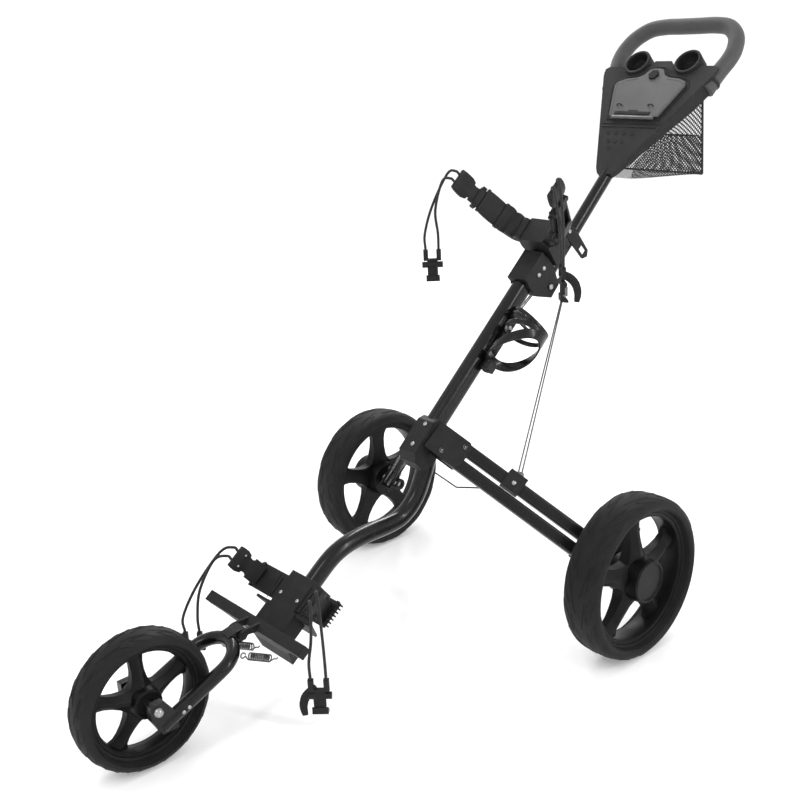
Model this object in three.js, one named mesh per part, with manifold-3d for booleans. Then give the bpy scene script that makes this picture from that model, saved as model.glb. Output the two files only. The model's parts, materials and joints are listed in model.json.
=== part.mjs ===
// A three-wheeled golf push cart, unfolded. Millimetres, +Z up, +Y to the rear, +X to the pusher's left.
// Heights are from the ground, and lengths along the cart are from the rear axle.
import * as THREE from 'three';
import { mergeVertices } from 'three/addons/utils/BufferGeometryUtils.js';
import { ConvexGeometry } from 'three/addons/geometries/ConvexGeometry.js';
import Module from 'manifold-3d';

const wasm = await Module();
wasm.setup();

// Driving dimensions
const GAP = 0.3;                    // between pieces that touch
const CENTRE_Y = 125;               // from the middle of the cart's length back to the rear axle
const TRACK = 670;                  // between the rear wheels' middle planes
const WHEELBASE = 768;
const REAR = { radius: 146, width: 74, rim: 118, hub: 34, dish: 15 };
const FRONT = { radius: 112, width: 60, rim: 88, hub: 24, dish: 12 };
const AXLE_R = 6;
const SPINE_TILT = 41.5;            // degrees above the ground
const SPINE = [0, -37, 470];        // a point half way up the main tube
const MAIN_TUBE = { wide: 30, deep: 38, low: -152, high: 322, wall: 2 };
const FRONT_TUBE_R = 16;
const TOE_TILT = 37;                // the front tube's lower end
const TOE = [0, -440, 173];
const HANDLE_PIVOT = [0, 152, 583];
const HANDLE_TUBE_R = 12.5;
const HANDLE_TUBE_TILT = 43;
const CONSOLE_TILT = 46.6;
const CONSOLE_APEX = [0, 340, 774];
const GRIP_R = 16;
const LEG_ROOT = [36, -158, 344];   // the left leg's lower pivot
const LEG_DIRECTION = [0.718, 0.396, -0.569];
const LEG_LENGTH = 300;             // between a leg tube's two pivots
const LEG_OFFSET = 30;              // from the lower pivot to the upper, along the leg and along the spine
const LEG_BAR = { wide: 18, deep: 23, corner: 5 };
const PEDAL = { y: 34, z: 184 };     // the brake pedals' pivots
const FORK_PIVOT = [0, -588, 150];
const FORK_TILT = 22.3;
const FORK_R = 45;                  // half the fork's width, at its tube's centre
const FORK_TUBE_R = 11;
const CORD_R = 2.5;

const radians = THREE.MathUtils.degToRad;
const vector = (p) => new THREE.Vector3(...p);

// Finishes
const FINISHES = {
  gloss_black_steel: { color: '#161616', roughness: 0.25, metalness: 0.3 },
  moulded_black: { color: '#2b2b2b', roughness: 0.6, metalness: 0 },
  console_grey: { color: '#3a3a3a', roughness: 0.55, metalness: 0 },
  smoke_lid: { color: '#4a4a4a', roughness: 0.3, metalness: 0 },
  foam_black: { color: '#2e2e2e', roughness: 0.9, metalness: 0 },
  tyre_black: { color: '#1f1f1f', roughness: 0.8, metalness: 0 },
  rim_black: { color: '#202020', roughness: 0.4, metalness: 0 },
  zinc: { color: '#b8b8b8', roughness: 0.3, metalness: 1 },
  cord_black: { color: '#0c0c0c', roughness: 0.8, metalness: 0 },
  net_black: { color: '#333333', roughness: 0.9, metalness: 0 },
};

const cart = new THREE.Group();

function add(name, geometry, finish, frame = cart) {
  const mesh = new THREE.Mesh(geometry, new THREE.MeshStandardMaterial({ ...FINISHES[finish] }));
  mesh.name = name;
  frame.add(mesh);
  return mesh;
}

// A group whose local Y runs up a slope in the cart's middle plane.
function slope(origin, tilt) {
  const group = new THREE.Group();
  group.position.set(...origin);
  group.rotation.x = radians(tilt);
  cart.add(group);
  return group;
}

const ALONG_X = new THREE.Vector3(1, 0, 0);

// From a slope's own frame to the cart's, and from the cart's to a slope's.
const offSlope = (point, origin, tilt) => (
  vector(point).applyAxisAngle(ALONG_X, radians(tilt)).add(vector(origin))
);
const onSlope = (point, origin, tilt) => (
  vector(point).sub(vector(origin)).applyAxisAngle(ALONG_X, -radians(tilt))
);

// Shapes and booleans
function solid(geometry) {
  const bare = geometry.clone();
  bare.deleteAttribute('normal');
  bare.deleteAttribute('uv');
  const merged = mergeVertices(bare, 1e-4);
  const vertProperties = new Float32Array(merged.attributes.position.array);
  const triVerts = new Uint32Array(merged.index.array);
  return new wasm.Manifold(new wasm.Mesh({ numProp: 3, vertProperties, triVerts }));
}

function geometryOf(manifold) {
  const mesh = manifold.getMesh();
  const geometry = new THREE.BufferGeometry();
  geometry.setAttribute('position', new THREE.BufferAttribute(new Float32Array(mesh.vertProperties), 3));
  geometry.setIndex(new THREE.BufferAttribute(new Uint32Array(mesh.triVerts), 1));
  return geometry;
}

const join = (...parts) => geometryOf(parts.map(solid).reduce((a, b) => a.add(b)));
const cut = (body, ...tools) => geometryOf(tools.map(solid).reduce((a, b) => a.subtract(b), solid(body)));

function box(x0, x1, y0, y1, z0, z1) {
  const geometry = new THREE.BoxGeometry(x1 - x0, y1 - y0, z1 - z0);
  return geometry.translate((x0 + x1) / 2, (y0 + y1) / 2, (z0 + z1) / 2);
}

// A round bar from one point to another.
function rod(from, to, radius, sides = 12, endRadius = radius) {
  const a = vector(from);
  const b = vector(to);
  const geometry = new THREE.CylinderGeometry(endRadius, radius, a.distanceTo(b), sides);
  const direction = b.clone().sub(a).normalize();
  const turn = new THREE.Quaternion().setFromUnitVectors(new THREE.Vector3(0, 1, 0), direction);
  return geometry.applyQuaternion(turn).translate(...a.add(b).multiplyScalar(0.5).toArray());
}

function circle(radius, sides) {
  const corners = Array.from({ length: sides }, (_, i) => {
    const angle = (2 * Math.PI * (i + 0.5)) / sides;
    return new THREE.Vector2(radius * Math.cos(angle), radius * Math.sin(angle));
  });
  return new THREE.Shape(corners);
}

function roundedRectangle(wide, deep, corner, segments = 3) {
  const points = [];
  const centres = [[1, 1, 0], [-1, 1, 90], [-1, -1, 180], [1, -1, 270]];
  for (const [sx, sy, start] of centres) {
    for (let i = 0; i <= segments; i++) {
      const angle = radians(start + (90 * i) / segments);
      points.push(new THREE.Vector2(
        sx * (wide / 2 - corner) + corner * Math.cos(angle),
        sy * (deep / 2 - corner) + corner * Math.sin(angle),
      ));
    }
  }
  return new THREE.Shape(points);
}

// A section swept along a curve.
function sweep(curve, section, steps) {
  return new THREE.ExtrudeGeometry(section, { steps, extrudePath: curve, bevelEnabled: false });
}

const smooth = (points) => new THREE.CatmullRomCurve3(points.map(vector), false, 'catmullrom', 0.5);

// A tube open at both ends.
function pipe(curve, radius, wall, sides, steps) {
  const section = circle(radius, sides);
  section.holes.push(circle(radius - wall, sides));
  return sweep(curve, section, steps);
}

// An outline drawn in X and Y, given a thickness in Z.
function plate(outline, z0, z1, holes = []) {
  const shape = new THREE.Shape(outline.map((p) => new THREE.Vector2(...p)));
  for (const hole of holes) shape.holes.push(hole);
  return new THREE.ExtrudeGeometry(shape, { depth: z1 - z0, bevelEnabled: false }).translate(0, 0, z0);
}

// An outline drawn in X and Z, given a length along Y.
function profileAlongY(outline, y0, y1) {
  return plate(outline, -y1, -y0).rotateX(Math.PI / 2);
}

// An outline drawn in Y and Z, given a width along X.
const Z_TO_X = new THREE.Matrix4().set(0, 0, 1, 0, 1, 0, 0, 0, 0, 1, 0, 0, 0, 0, 0, 1);
const profileAlongX = (outline, x0, x1) => plate(outline, x0, x1).applyMatrix4(Z_TO_X);

const hull = (points) => new ConvexGeometry(points.map(vector));
const corners = (x0, x1, y0, y1, z0, z1) => (
  [x0, x1].flatMap((x) => [y0, y1].flatMap((y) => [z0, z1].map((z) => [x, y, z])))
);

function mirrored(geometry) {
  const copy = geometry.clone().scale(-1, 1, 1);
  const flat = copy.index ? copy.toNonIndexed() : copy;
  const position = flat.attributes.position;
  for (let i = 0; i < position.count; i += 3) {
    const a = new THREE.Vector3().fromBufferAttribute(position, i);
    const b = new THREE.Vector3().fromBufferAttribute(position, i + 1);
    position.setXYZ(i, b.x, b.y, b.z);
    position.setXYZ(i + 1, a.x, a.y, a.z);
  }
  flat.deleteAttribute('normal');
  return flat;
}

// Adds a piece and its mirror image across the middle plane.
function addPair(name, geometry, finish, frame = cart) {
  add(`${name}_left`, geometry, finish, frame);
  add(`${name}_right`, mirrored(geometry), finish, frame);
}

const AXIS_TO_X = new THREE.Matrix4().makeRotationZ(-Math.PI / 2);

// A ring or disc turned about the X axis. Its profile is [radius, x] points.
function turned(profile, segments) {
  const outward = THREE.ShapeUtils.area(profile.map(([radius, x]) => new THREE.Vector2(radius, x))) > 0;
  const ordered = outward ? profile : profile.toReversed();
  const points = ordered.map(([radius, x]) => new THREE.Vector2(radius, x));
  return new THREE.LatheGeometry(points, segments).applyMatrix4(AXIS_TO_X);
}

// Wheels
function tyre({ radius, width, rim }) {
  const half = width / 2;
  const side = [
    [rim + GAP, half - 15], [rim + 6, half - 15], [rim + 8.5, half - 3],
    [radius - 14, half], [radius - 5, half - 4], [radius, half - 17],
  ];
  const profile = [...side, ...side.toReversed().map(([r, x]) => [r, -x])];
  return turned([...profile, profile[0]], 36);
}

function rim({ width, rim: rimRadius, hub, dish }) {
  const half = width / 2;
  const barrel = turned([
    [rimRadius, half - 15.5], [rimRadius, 15.5 - half], [rimRadius - 6, 15.5 - half],
    [rimRadius - 12, 0], [rimRadius - 6, half - 15.5], [rimRadius, half - 15.5],
  ], 36);
  const bore = AXLE_R + 0.05;
  const hubDrum = turned([
    [bore, 4 - half], [hub, 8 - half], [hub, half + 2], [bore, half + 2], [bore, 4 - half],
  ], 24);
  const spokes = Array.from({ length: 5 }, (_, i) => {
    const inner = hub - 4;
    const outer = rimRadius - 7;
    const spoke = hull([
      [-8, inner, -13], [dish - 3, inner, -13], [-8, inner, 13], [dish - 3, inner, 13],
      [-8, outer, -15], [4, outer, -15], [-8, outer, 15], [4, outer, 15],
    ]);
    return spoke.rotateX((2 * Math.PI * i) / 5);
  });
  return join(barrel, hubDrum, ...spokes);
}

function wheel(name, size, x, y) {
  const frame = new THREE.Group();
  frame.position.set(x, y, size.radius);
  if (x < 0) frame.rotation.z = Math.PI;
  cart.add(frame);
  add(`${name}_tyre`, tyre(size), 'tyre_black', frame);
  add(`${name}_rim`, rim(size), 'rim_black', frame);
}

// The spine: main tube, front tube and the brackets on them
const spine = slope(SPINE, SPINE_TILT);

function mainTube() {
  const { wide, deep, low, high, wall } = MAIN_TUBE;
  const section = roundedRectangle(wide, deep, 13);
  section.holes.push(roundedRectangle(wide - 2 * wall, deep - 2 * wall, 11));
  const tube = new THREE.ExtrudeGeometry(section, { depth: high - low, bevelEnabled: false });
  add('main_tube', tube.rotateX(-Math.PI / 2).translate(0, low, 0), 'gloss_black_steel', spine);
}

const mainTubeRoom = () => new THREE.ExtrudeGeometry(
  roundedRectangle(MAIN_TUBE.wide + 2 * GAP, MAIN_TUBE.deep + 2 * GAP, 13 + GAP),
  { depth: MAIN_TUBE.high - MAIN_TUBE.low + 2 * GAP, bevelEnabled: false },
).rotateX(-Math.PI / 2).translate(0, MAIN_TUBE.low - GAP, 0);

const FRONT_TUBE_ROUTE = [
  [0, -480, 143], [0, -440, 173], [0, -400, 203], [0, -372, 217], [0, -340, 224], [0, -300, 226],
  [0, -262, 226], [0, -231, 230], [0, -205, 245], [0, -186, 266], [0, -171, 294], [0, -158, 322],
  [0, -150, 345],
];

function frontTube() {
  add('front_tube', sweep(smooth(FRONT_TUBE_ROUTE), circle(FRONT_TUBE_R, 12), 22), 'gloss_black_steel');
}

const legAxes = (() => {
  const along = vector(LEG_DIRECTION).normalize();
  const up = new THREE.Vector3(0, Math.cos(radians(SPINE_TILT)), Math.sin(radians(SPINE_TILT)));
  up.addScaledVector(along, -up.dot(along)).normalize();
  return { along, up, out: along.clone().cross(up) };
})();

// The left leg's own frame: X along the leg, Y up the spine, Z across it, with its origin at the lower pivot.
const legFrame = new THREE.Matrix4()
  .makeBasis(legAxes.along, legAxes.up, legAxes.out)
  .setPosition(...LEG_ROOT);
const inLegFrame = (geometry) => geometry.applyMatrix4(legFrame);

// Two cheeks that hold both leg tubes by their pins, from x0 to x1 along the leg.
function cheeks(x0, x1) {
  const inner = LEG_BAR.wide / 2 + 0.8;
  const top = LEG_OFFSET + 12;
  const outline = [[x0, -12], [x1 - 8, -12], [x1, -4], [x1, top - 8], [x1 - 8, top], [x0, top]];
  return [plate(outline, inner, inner + 3.4), plate(outline, -inner - 3.4, -inner)];
}

function pinsAt(x) {
  const reach = LEG_BAR.wide / 2 + 6.5;
  return [[x, 0], [x + LEG_OFFSET, LEG_OFFSET]].map(([a, b]) => rod([a, b, -reach], [a, b, reach], 3.5, 10));
}

function centreBracket() {
  const toWorld = new THREE.Matrix4().makeRotationX(radians(SPINE_TILT)).setPosition(...SPINE);
  const block = profileAlongX([
    [-218, -20], [-218, 8], [-206, 24], [-140, 24], [-128, 16], [-128, -14], [-142, -30], [-200, -30],
  ], -20, 20).applyMatrix4(toWorld);
  const wings = [...cheeks(-30, LEG_OFFSET + 12), ...pinsAt(0)].map(inLegFrame);
  const both = [...wings, ...wings.map(mirrored)];
  const whole = join(block, ...both);
  const frontRoom = sweep(smooth(FRONT_TUBE_ROUTE), circle(FRONT_TUBE_R + GAP, 12), 22);
  add('centre_bracket', cut(whole, mainTubeRoom().applyMatrix4(toWorld), frontRoom), 'moulded_black');
}

function foldBracket() {
  const sleeve = box(-22.5, 22.5, 182, 248, -26, 24);
  const side = [[180, 10], [250, 10], [250, -20], [236, -58], [205, -60], [180, -24]];
  const ears = [profileAlongX(side, 13.2, 22.5), profileAlongX(side, -22.5, -13.2)];
  const pivot = onSlope(HANDLE_PIVOT, SPINE, SPINE_TILT);
  const pin = rod([-25.5, pivot.y, pivot.z], [25.5, pivot.y, pivot.z], 4, 12);
  const whole = join(sleeve, ...ears, pin);
  add('fold_bracket', cut(whole, mainTubeRoom()), 'moulded_black', spine);
}

// The upper bag cradle: a block on the main tube, two arms, and a buckle on each arm
const UPPER_ARM = { s0: 262, s1: 298 };

function upperCradle() {
  const saddle = profileAlongY([[-34, 26], [-26, -24], [26, -24], [34, 26], [30, 46], [-30, 46]], 254, 306);
  add('upper_cradle', cut(saddle, mainTubeRoom()), 'moulded_black', spine);
  const inside = [[31, 47], [52, 66], [72, 92], [94, 118]];
  const outside = [[108, 108], [86, 78], [66, 54], [46, 30], [35.5, 24]];
  const { s0, s1 } = UPPER_ARM;
  const arm = profileAlongY([...inside, ...outside], s0, s1);
  addPair('upper_arm', arm, 'moulded_black', spine);
  const blade = hull([
    ...corners(94.5, 111, s0 - 4, s1 + 2, 118.6, 121),
    ...corners(113, 124, s0 + 2, s1 - 2, 168, 176),
  ]);
  addPair('upper_buckle', blade, 'moulded_black', spine);
}

function handleLatch() {
  const outline = [[316, -2], [334, -2], [340, -14], [336, -78], [326, -86], [314, -78], [312, -14]];
  const window = [[319, -56], [331, -56], [331, -74], [319, -74]];
  const ring = cut(profileAlongX(outline, 17, 21), profileAlongX(window, 16, 22));
  add('handle_latch', ring, 'moulded_black', spine);
}

// The bottle cage on the main tube's left side
function bottleCage() {
  const side = MAIN_TUBE.wide / 2 + GAP;
  const centre = [side + 46, -10];
  const back = box(side, side + 7, 0, 138, -16, -4);
  const band = (low, high, power) => {
    const points = Array.from({ length: 25 }, (_, i) => {
      const angle = (2 * Math.PI * i) / 24;
      const rise = ((1 - Math.cos(angle)) / 2) ** power;
      return [centre[0] - 38 * Math.cos(angle), low + (high - low) * rise, centre[1] + 38 * Math.sin(angle)];
    });
    const curve = new THREE.CatmullRomCurve3(points.slice(0, 24).map(vector), true);
    return sweep(curve, roundedRectangle(3.6, 13, 1, 1), 22);
  };
  const foot = box(side + 2, side + 26, 0, 5, -20, 0);
  const bands = [band(128, 104, 1), band(56, 98, 1.2), band(6, 92, 2.2)];
  add('bottle_cage', join(back, ...bands, foot), 'gloss_black_steel', spine);
}

// The lower cradle: a block on the front tube's end, a plate, two buckles and the shelf for the bag's base
const toe = slope(TOE, TOE_TILT);

function lowerCradle() {
  const block = box(-31, 31, -60, 8, -24, 26);
  const armPlate = box(-104, 104, -50, -3, 17, 23);
  const slits = [-1, 1].map((s) => box(s * 41 - 1, s * 41 + 1, -51, -12, 10, 30));
  const apron = hull([...corners(-72, 72, -60, -55, 10, 23), ...corners(-30, 30, -60, -55, -52, -50)]);
  const tail = box(-38, 38, -93.7, -55, -8, 26);
  const tubeRoom = rod([0, -51, 0], [0, 40, 0], FRONT_TUBE_R + 1, 14);
  add('lower_cradle', cut(join(block, armPlate, apron, tail), tubeRoom, ...slits), 'moulded_black', toe);
  const buckle = hull([...corners(88, 103, -46, -8, 23.4, 26), ...corners(104, 116, -43, -13, 72, 80)]);
  addPair('lower_buckle', buckle, 'moulded_black', toe);
}

function bagShelf() {
  const bar = profileAlongY([
    [-133, 58], [-133, 44], [-94, 38], [-46, -2], [46, -2], [94, 38], [133, 44], [133, 58],
  ], -113, -94);
  const ear = [
    [-100, 58], [-100, 40], [-126, 64.6], [-134, 62.8], [-139, 67], [-140, 72], [-137, 77],
    [-131, 78.6], [-124, 76],
  ];
  const ears = [profileAlongX(ear, 12.8, 18), profileAlongX(ear, -18, -12.8)];
  const pivot = onSlope(FORK_PIVOT, TOE, TOE_TILT);
  const pin = rod([-20, pivot.y, pivot.z], [20, pivot.y, pivot.z], 4, 12);
  add('bag_shelf', join(bar, ...ears, pin), 'moulded_black', toe);
}

// The front fork, which folds under on its hinge
function frontFork() {
  const forward = new THREE.Vector3(0, -Math.cos(radians(FORK_TILT)), -Math.sin(radians(FORK_TILT)));
  const back = new THREE.Vector3(0, -607, 144);
  const at = (x, along) => [x, back.y + forward.y * along, back.z + forward.z * along];
  const bend = Array.from({ length: 9 }, (_, i) => {
    const angle = radians(-90 + (180 * i) / 8);
    return at(FORK_R * Math.sin(angle), FORK_R * (1 - Math.cos(angle)));
  });
  const arm = (x) => [70, 110, 168].map((along) => at(x, along));
  const route = [...arm(-FORK_R).toReversed(), ...bend, ...arm(FORK_R)];
  const tube = sweep(smooth(route), circle(FORK_TUBE_R, 12), 34);
  const hub = [0, -WHEELBASE, FRONT.radius];
  const end = at(FORK_R, 160);
  const dropout = hull([
    ...corners(FORK_R - 7, FORK_R + 7, hub[1] - 12, hub[1] + 12, hub[2] - 13, hub[2] + 13),
    ...corners(FORK_R - 7, FORK_R + 7, end[1] - 10, end[1] + 18, end[2] - 12, end[2] + 14),
  ]);
  const lug = hull([
    ...corners(-12.4, 12.4, back.y - 6, back.y + 6, back.z - 10, back.z + 12),
    ...corners(-12.4, 12.4, FORK_PIVOT[1] - 9, FORK_PIVOT[1] + 9, FORK_PIVOT[2] - 9, FORK_PIVOT[2] + 9),
  ]);
  const pinRoom = rod([-30, FORK_PIVOT[1], FORK_PIVOT[2]], [30, FORK_PIVOT[1], FORK_PIVOT[2]], 4.4, 12);
  const axleRoom = rod([-80, hub[1], hub[2]], [80, hub[1], hub[2]], AXLE_R + GAP, 12);
  const whole = join(tube, dropout, mirrored(dropout), lug);
  add('front_fork', cut(whole, pinRoom, axleRoom), 'gloss_black_steel');
  add('front_axle', rod([-58, hub[1], hub[2]], [58, hub[1], hub[2]], AXLE_R - 0.4, 12), 'zinc');
}

// Two coil springs that pull the fork's hinge open, each a plain sleeve with its hook ends
function forkSprings() {
  const spring = join(
    rod([26, -582, 128], [26, -538, 100], 4.5, 8),
    rod([26, -592, 134.4], [26, -574, 123], 1.5, 6),
    rod([26, -544, 104], [26, -528, 93.6], 1.5, 6),
  );
  addPair('fork_spring', spring, 'zinc');
}

// The handle: tube, console, lid, net and padded loop
function handleTube() {
  const up = new THREE.Vector3(0, Math.cos(radians(HANDLE_TUBE_TILT)), Math.sin(radians(HANDLE_TUBE_TILT)));
  const end = vector(HANDLE_PIVOT).addScaledVector(up, 402).toArray();
  const bar = pipe(new THREE.LineCurve3(vector(HANDLE_PIVOT), vector(end)), HANDLE_TUBE_R, 2, 16, 1);
  const [, y, z] = HANDLE_PIVOT;
  const knuckle = rod([-HANDLE_TUBE_R, y, z], [HANDLE_TUBE_R, y, z], HANDLE_TUBE_R - 0.2, 16);
  const pinRoom = rod([-30, y, z], [30, y, z], 4.4, 12);
  add('handle_tube', cut(join(bar, knuckle), pinRoom), 'gloss_black_steel');
  return { end, up };
}

const consoleFrame = slope(CONSOLE_APEX, CONSOLE_TILT);
const HOLDER = { x: 60, along: 266, radius: 28, hole: 23 };
const LOOP_DEPTH = -20.8;
const LOOP_ROUTE = [
  [-116, 214], [-119, 236], [-124, 262], [-131, 290], [-131, 316], [-120, 346], [-94, 370], [-60, 377],
  [-20, 377],
].map(([x, along]) => [x, along, LOOP_DEPTH]);

function consoleOutline(inset) {
  const side = (along) => 21 + 0.468 * along - inset * 1.1;
  return [
    [-side(8), 8 + inset], [-16 + inset / 2, -4 + inset], [16 - inset / 2, -4 + inset], [side(8), 8 + inset],
    [side(236), 236], [side(250) - 3, 252 - inset], [side(250) - 12, 258 - inset],
    [26, 258 - inset], [19, 271 - inset], [-19, 271 - inset], [-26, 258 - inset],
    [-side(250) + 12, 258 - inset], [-side(250) + 3, 252 - inset], [-side(236), 236],
  ];
}

function consoleTray() {
  const shell = plate(consoleOutline(0), -31, 0);
  const inside = plate(consoleOutline(3.5), -40, -4);
  const taper = profileAlongX([[-30, -40], [-30, -13], [0, -13], [180, -31.5], [180, -40]], -200, 200);
  const atHolders = (low, high, radius) => [-HOLDER.x, HOLDER.x].map((x) => (
    rod([x, HOLDER.along, low], [x, HOLDER.along, high], radius, 24)
  ));
  const holders = atHolders(-26, 3, HOLDER.radius);
  const holes = atHolders(-40, 20, HOLDER.hole);
  const ends = [HANDLE_PIVOT, handle.end].map((p) => onSlope(p, CONSOLE_APEX, CONSOLE_TILT).toArray());
  const tubeRoom = rod(...ends, HANDLE_TUBE_R + GAP, 16);
  const socket = box(-17, 17, 60, 118, -32, -3.5);
  const loopRoom = [...LOOP_ROUTE, ...LOOP_ROUTE.map(([x, a, n]) => [-x, a, n]).toReversed()];
  const loop = sweep(smooth(loopRoom), circle(GRIP_R + 2 * GAP, 12), 36);
  const skirted = join(cut(shell, inside, taper), ...holders, socket);
  const tray = geometryOf(holes.reduce((body, hole) => body.subtract(solid(hole)), solid(skirted)));
  const cornerRoom = [-1, 1].map((s) => box(s < 0 ? -150 : 110, s < 0 ? -110 : 150, 236, 262, -40, -4.3));
  add('console_tray', cut(tray, tubeRoom, loop, ...cornerRoom), 'console_grey', consoleFrame);
}

function gripLoop() {
  const route = [...LOOP_ROUTE, ...LOOP_ROUTE.map(([x, a, n]) => [-x, a, n]).toReversed()];
  add('grip_loop', sweep(smooth(route), circle(GRIP_R, 12), 36), 'foam_black', consoleFrame);
}

function scorecardLid() {
  const half = [[58, 132], [84, 206], [80, 216], [62, 223], [36, 226], [24, 233], [16, 245], [8, 248]];
  const outline = [...half, ...half.toReversed().map(([x, along]) => [-x, along])];
  const hinge = rod([-50, 128, 4.2], [50, 128, 4.2], 3.4, 10);
  const tongue = box(-50, 50, 127, 136, 1.5, 5);
  add('scorecard_lid', join(plate(outline, 1, 5), hinge, tongue), 'smoke_lid', consoleFrame);
  const sixth = [0, 60, 120, 180, 240, 300].map(radians);
  const hexagon = sixth.map((angle) => [12 * Math.cos(angle), 12 * Math.sin(angle)]);
  const tab = plate(hexagon, 5.3, 9).translate(0, 231, 0);
  add('lid_latch', tab, 'console_grey', consoleFrame);
}

function storageNet() {
  const rim = (...point) => offSlope(point, CONSOLE_APEX, CONSOLE_TILT).toArray();
  const wedge = (inset, lift) => hull([-1, 1].flatMap((s) => [
    rim(s * (30 - inset), 52, lift), rim(s * (106 - inset), 208, lift),
    [s * (30 - inset), 384 + 2 * inset, 757 + inset], [s * (112 - inset), 506 - inset, 757 + inset],
  ]));
  const mouth = hull([...corners(-98, 98, 470, 540, 830, 990)]);
  const throat = rod(HANDLE_PIVOT, handle.end, HANDLE_TUBE_R + 1, 12);
  const bag = cut(wedge(0, -17), wedge(1.6, -10), mouth, throat);
  const below = profileAlongX([[-20, -33.5], [330, -33.5], [330, 80], [-20, 80]], -200, 200)
    .rotateX(radians(CONSOLE_TILT)).translate(...CONSOLE_APEX);
  add('storage_net', cut(bag, below), 'net_black');
}

// The legs: on each side two tubes that keep the wheel upright, a bracket, a carrier, an axle and a stay rod
function leg() {
  const bore = (x, y) => rod([x, y, -30], [x, y, 30], 3.9, 10);
  const { wide, deep, corner } = LEG_BAR;
  const tube = (x, y) => {
    const bar = new THREE.ExtrudeGeometry(roundedRectangle(wide, deep, corner), {
      depth: LEG_LENGTH, bevelEnabled: false,
    }).rotateY(Math.PI / 2).translate(x, y, 0);
    const ends = [x, x + LEG_LENGTH].map((end) => (
      rod([end, y, -wide / 2], [end, y, wide / 2], deep / 2 - 0.2, 16)
    ));
    return inLegFrame(cut(join(bar, ...ends), bore(x, y), bore(x + LEG_LENGTH, y)));
  };
  addPair('leg_lower_tube', tube(0, 0), 'gloss_black_steel');
  addPair('leg_upper_tube', tube(LEG_OFFSET, LEG_OFFSET), 'gloss_black_steel');
  const clamp = box(118, 154, LEG_OFFSET - deep / 2 - 2.6, LEG_OFFSET + 20, -13, 13);
  const [low, high, side] = [LEG_OFFSET - deep / 2 - GAP, LEG_OFFSET + deep / 2 + GAP, wide / 2 + GAP];
  const room = box(100, 180, low, high, -side, side);
  addPair('leg_clamp', inLegFrame(cut(clamp, room)), 'moulded_black');
}

function wheelCarrier() {
  const plates = cheeks(-12, LEG_OFFSET + 24).map((part) => part.translate(LEG_LENGTH, 0, 0));
  const end = LEG_LENGTH + LEG_OFFSET;
  const web = box(end + 12.5, end + 24, -4, LEG_OFFSET + 4, -13.2, 13.2);
  const held = [...plates, web, ...pinsAt(LEG_LENGTH)].map(inLegFrame);
  const face = TRACK / 2 - REAR.width / 2 - 1;
  const boss = rod([face - 34, 0, REAR.radius], [face, 0, REAR.radius], 12, 16);
  const axleRoom = rod([face - 60, 0, REAR.radius], [face + 10, 0, REAR.radius], AXLE_R + GAP, 12);
  const lug = hull([
    ...corners(face - 7, face, -14, 14, REAR.radius - 10, REAR.radius + 10),
    ...corners(face - 7, face, PEDAL.y - 7, PEDAL.y + 7, PEDAL.z - 7, PEDAL.z + 7),
  ]);
  const pedalPin = rod([face - 30, PEDAL.y, PEDAL.z], [face - 4, PEDAL.y, PEDAL.z], 3, 10);
  addPair('wheel_carrier', cut(join(...held, boss, lug, pedalPin), axleRoom), 'moulded_black');
  const axle = rod([face - 30, 0, REAR.radius], [TRACK / 2 + 30, 0, REAR.radius], AXLE_R - 0.4, 12);
  addPair('rear_axle', axle, 'zinc');
}

function stayRod() {
  const foot = new THREE.Vector3(136, LEG_OFFSET + 24, 0).applyMatrix4(legFrame).toArray();
  const head = [33, 180, 569];
  const tab = box(-3, 3, -7, 7, -8, 8).translate(...head);
  addPair('stay_rod', join(rod(foot, head, 3.2, 8), tab), 'zinc');
}

function brakeCable() {
  const start = new THREE.Vector3(122, LEG_OFFSET - 16, -16).applyMatrix4(legFrame);
  const route = [[1, start.y + 4, start.z - 30], [start.x / 2, start.y + 1, start.z - 14], start.toArray()];
  addPair('brake_cable', sweep(smooth(route), circle(1.5, 8), 7), 'cord_black');
}

function brakePedal() {
  const face = TRACK / 2 - REAR.width / 2 - 1;
  const { y, z } = PEDAL;
  const hub = rod([face - 26, y, z], [face - 8, y, z], 7, 12);
  const arm = [
    ...corners(face - 26, face - 8, y - 4, y + 4, z - 5, z + 5),
    ...corners(face - 26, face - 8, y + 38, y + 40, z + 2, z + 7),
  ];
  const tread = box(face - 38, face - 6, y + 36, y + 50, z + 2, z + 8);
  const pinRoom = rod([face - 40, y, z], [face, y, z], 3.4, 10);
  addPair('brake_pedal', cut(join(hub, hull(arm), tread), pinRoom), 'moulded_black');
}

// Elastic cords, two strands to each clip
const TOE_POINT = (...point) => offSlope(point, TOE, TOE_TILT).toArray();
const SPINE_POINT = (...point) => offSlope(point, SPINE, SPINE_TILT).toArray();

// A clip hangs below the point where its two strands enter it, with its hook below it.
function clip([x, y, z], lean) {
  const turn = new THREE.Matrix4().makeRotationZ(lean).setPosition(x, y, z);
  const body = box(-17, 17, -4, 4, -22, -0.4);
  const window = box(-8, 8, -6, 6, -18, 2);
  const bar = rod([-20, 0, -30], [20, 0, -30], 6, 10);
  const neck = box(-10, 10, -3, 3, -50, -20);
  const lip = hull([...corners(-13, 13, -5, -2, -62, -50), ...corners(-13, 13, 6, 9, -64, -60)]);
  return join(cut(body, window), bar, neck, lip).applyMatrix4(turn);
}

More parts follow.
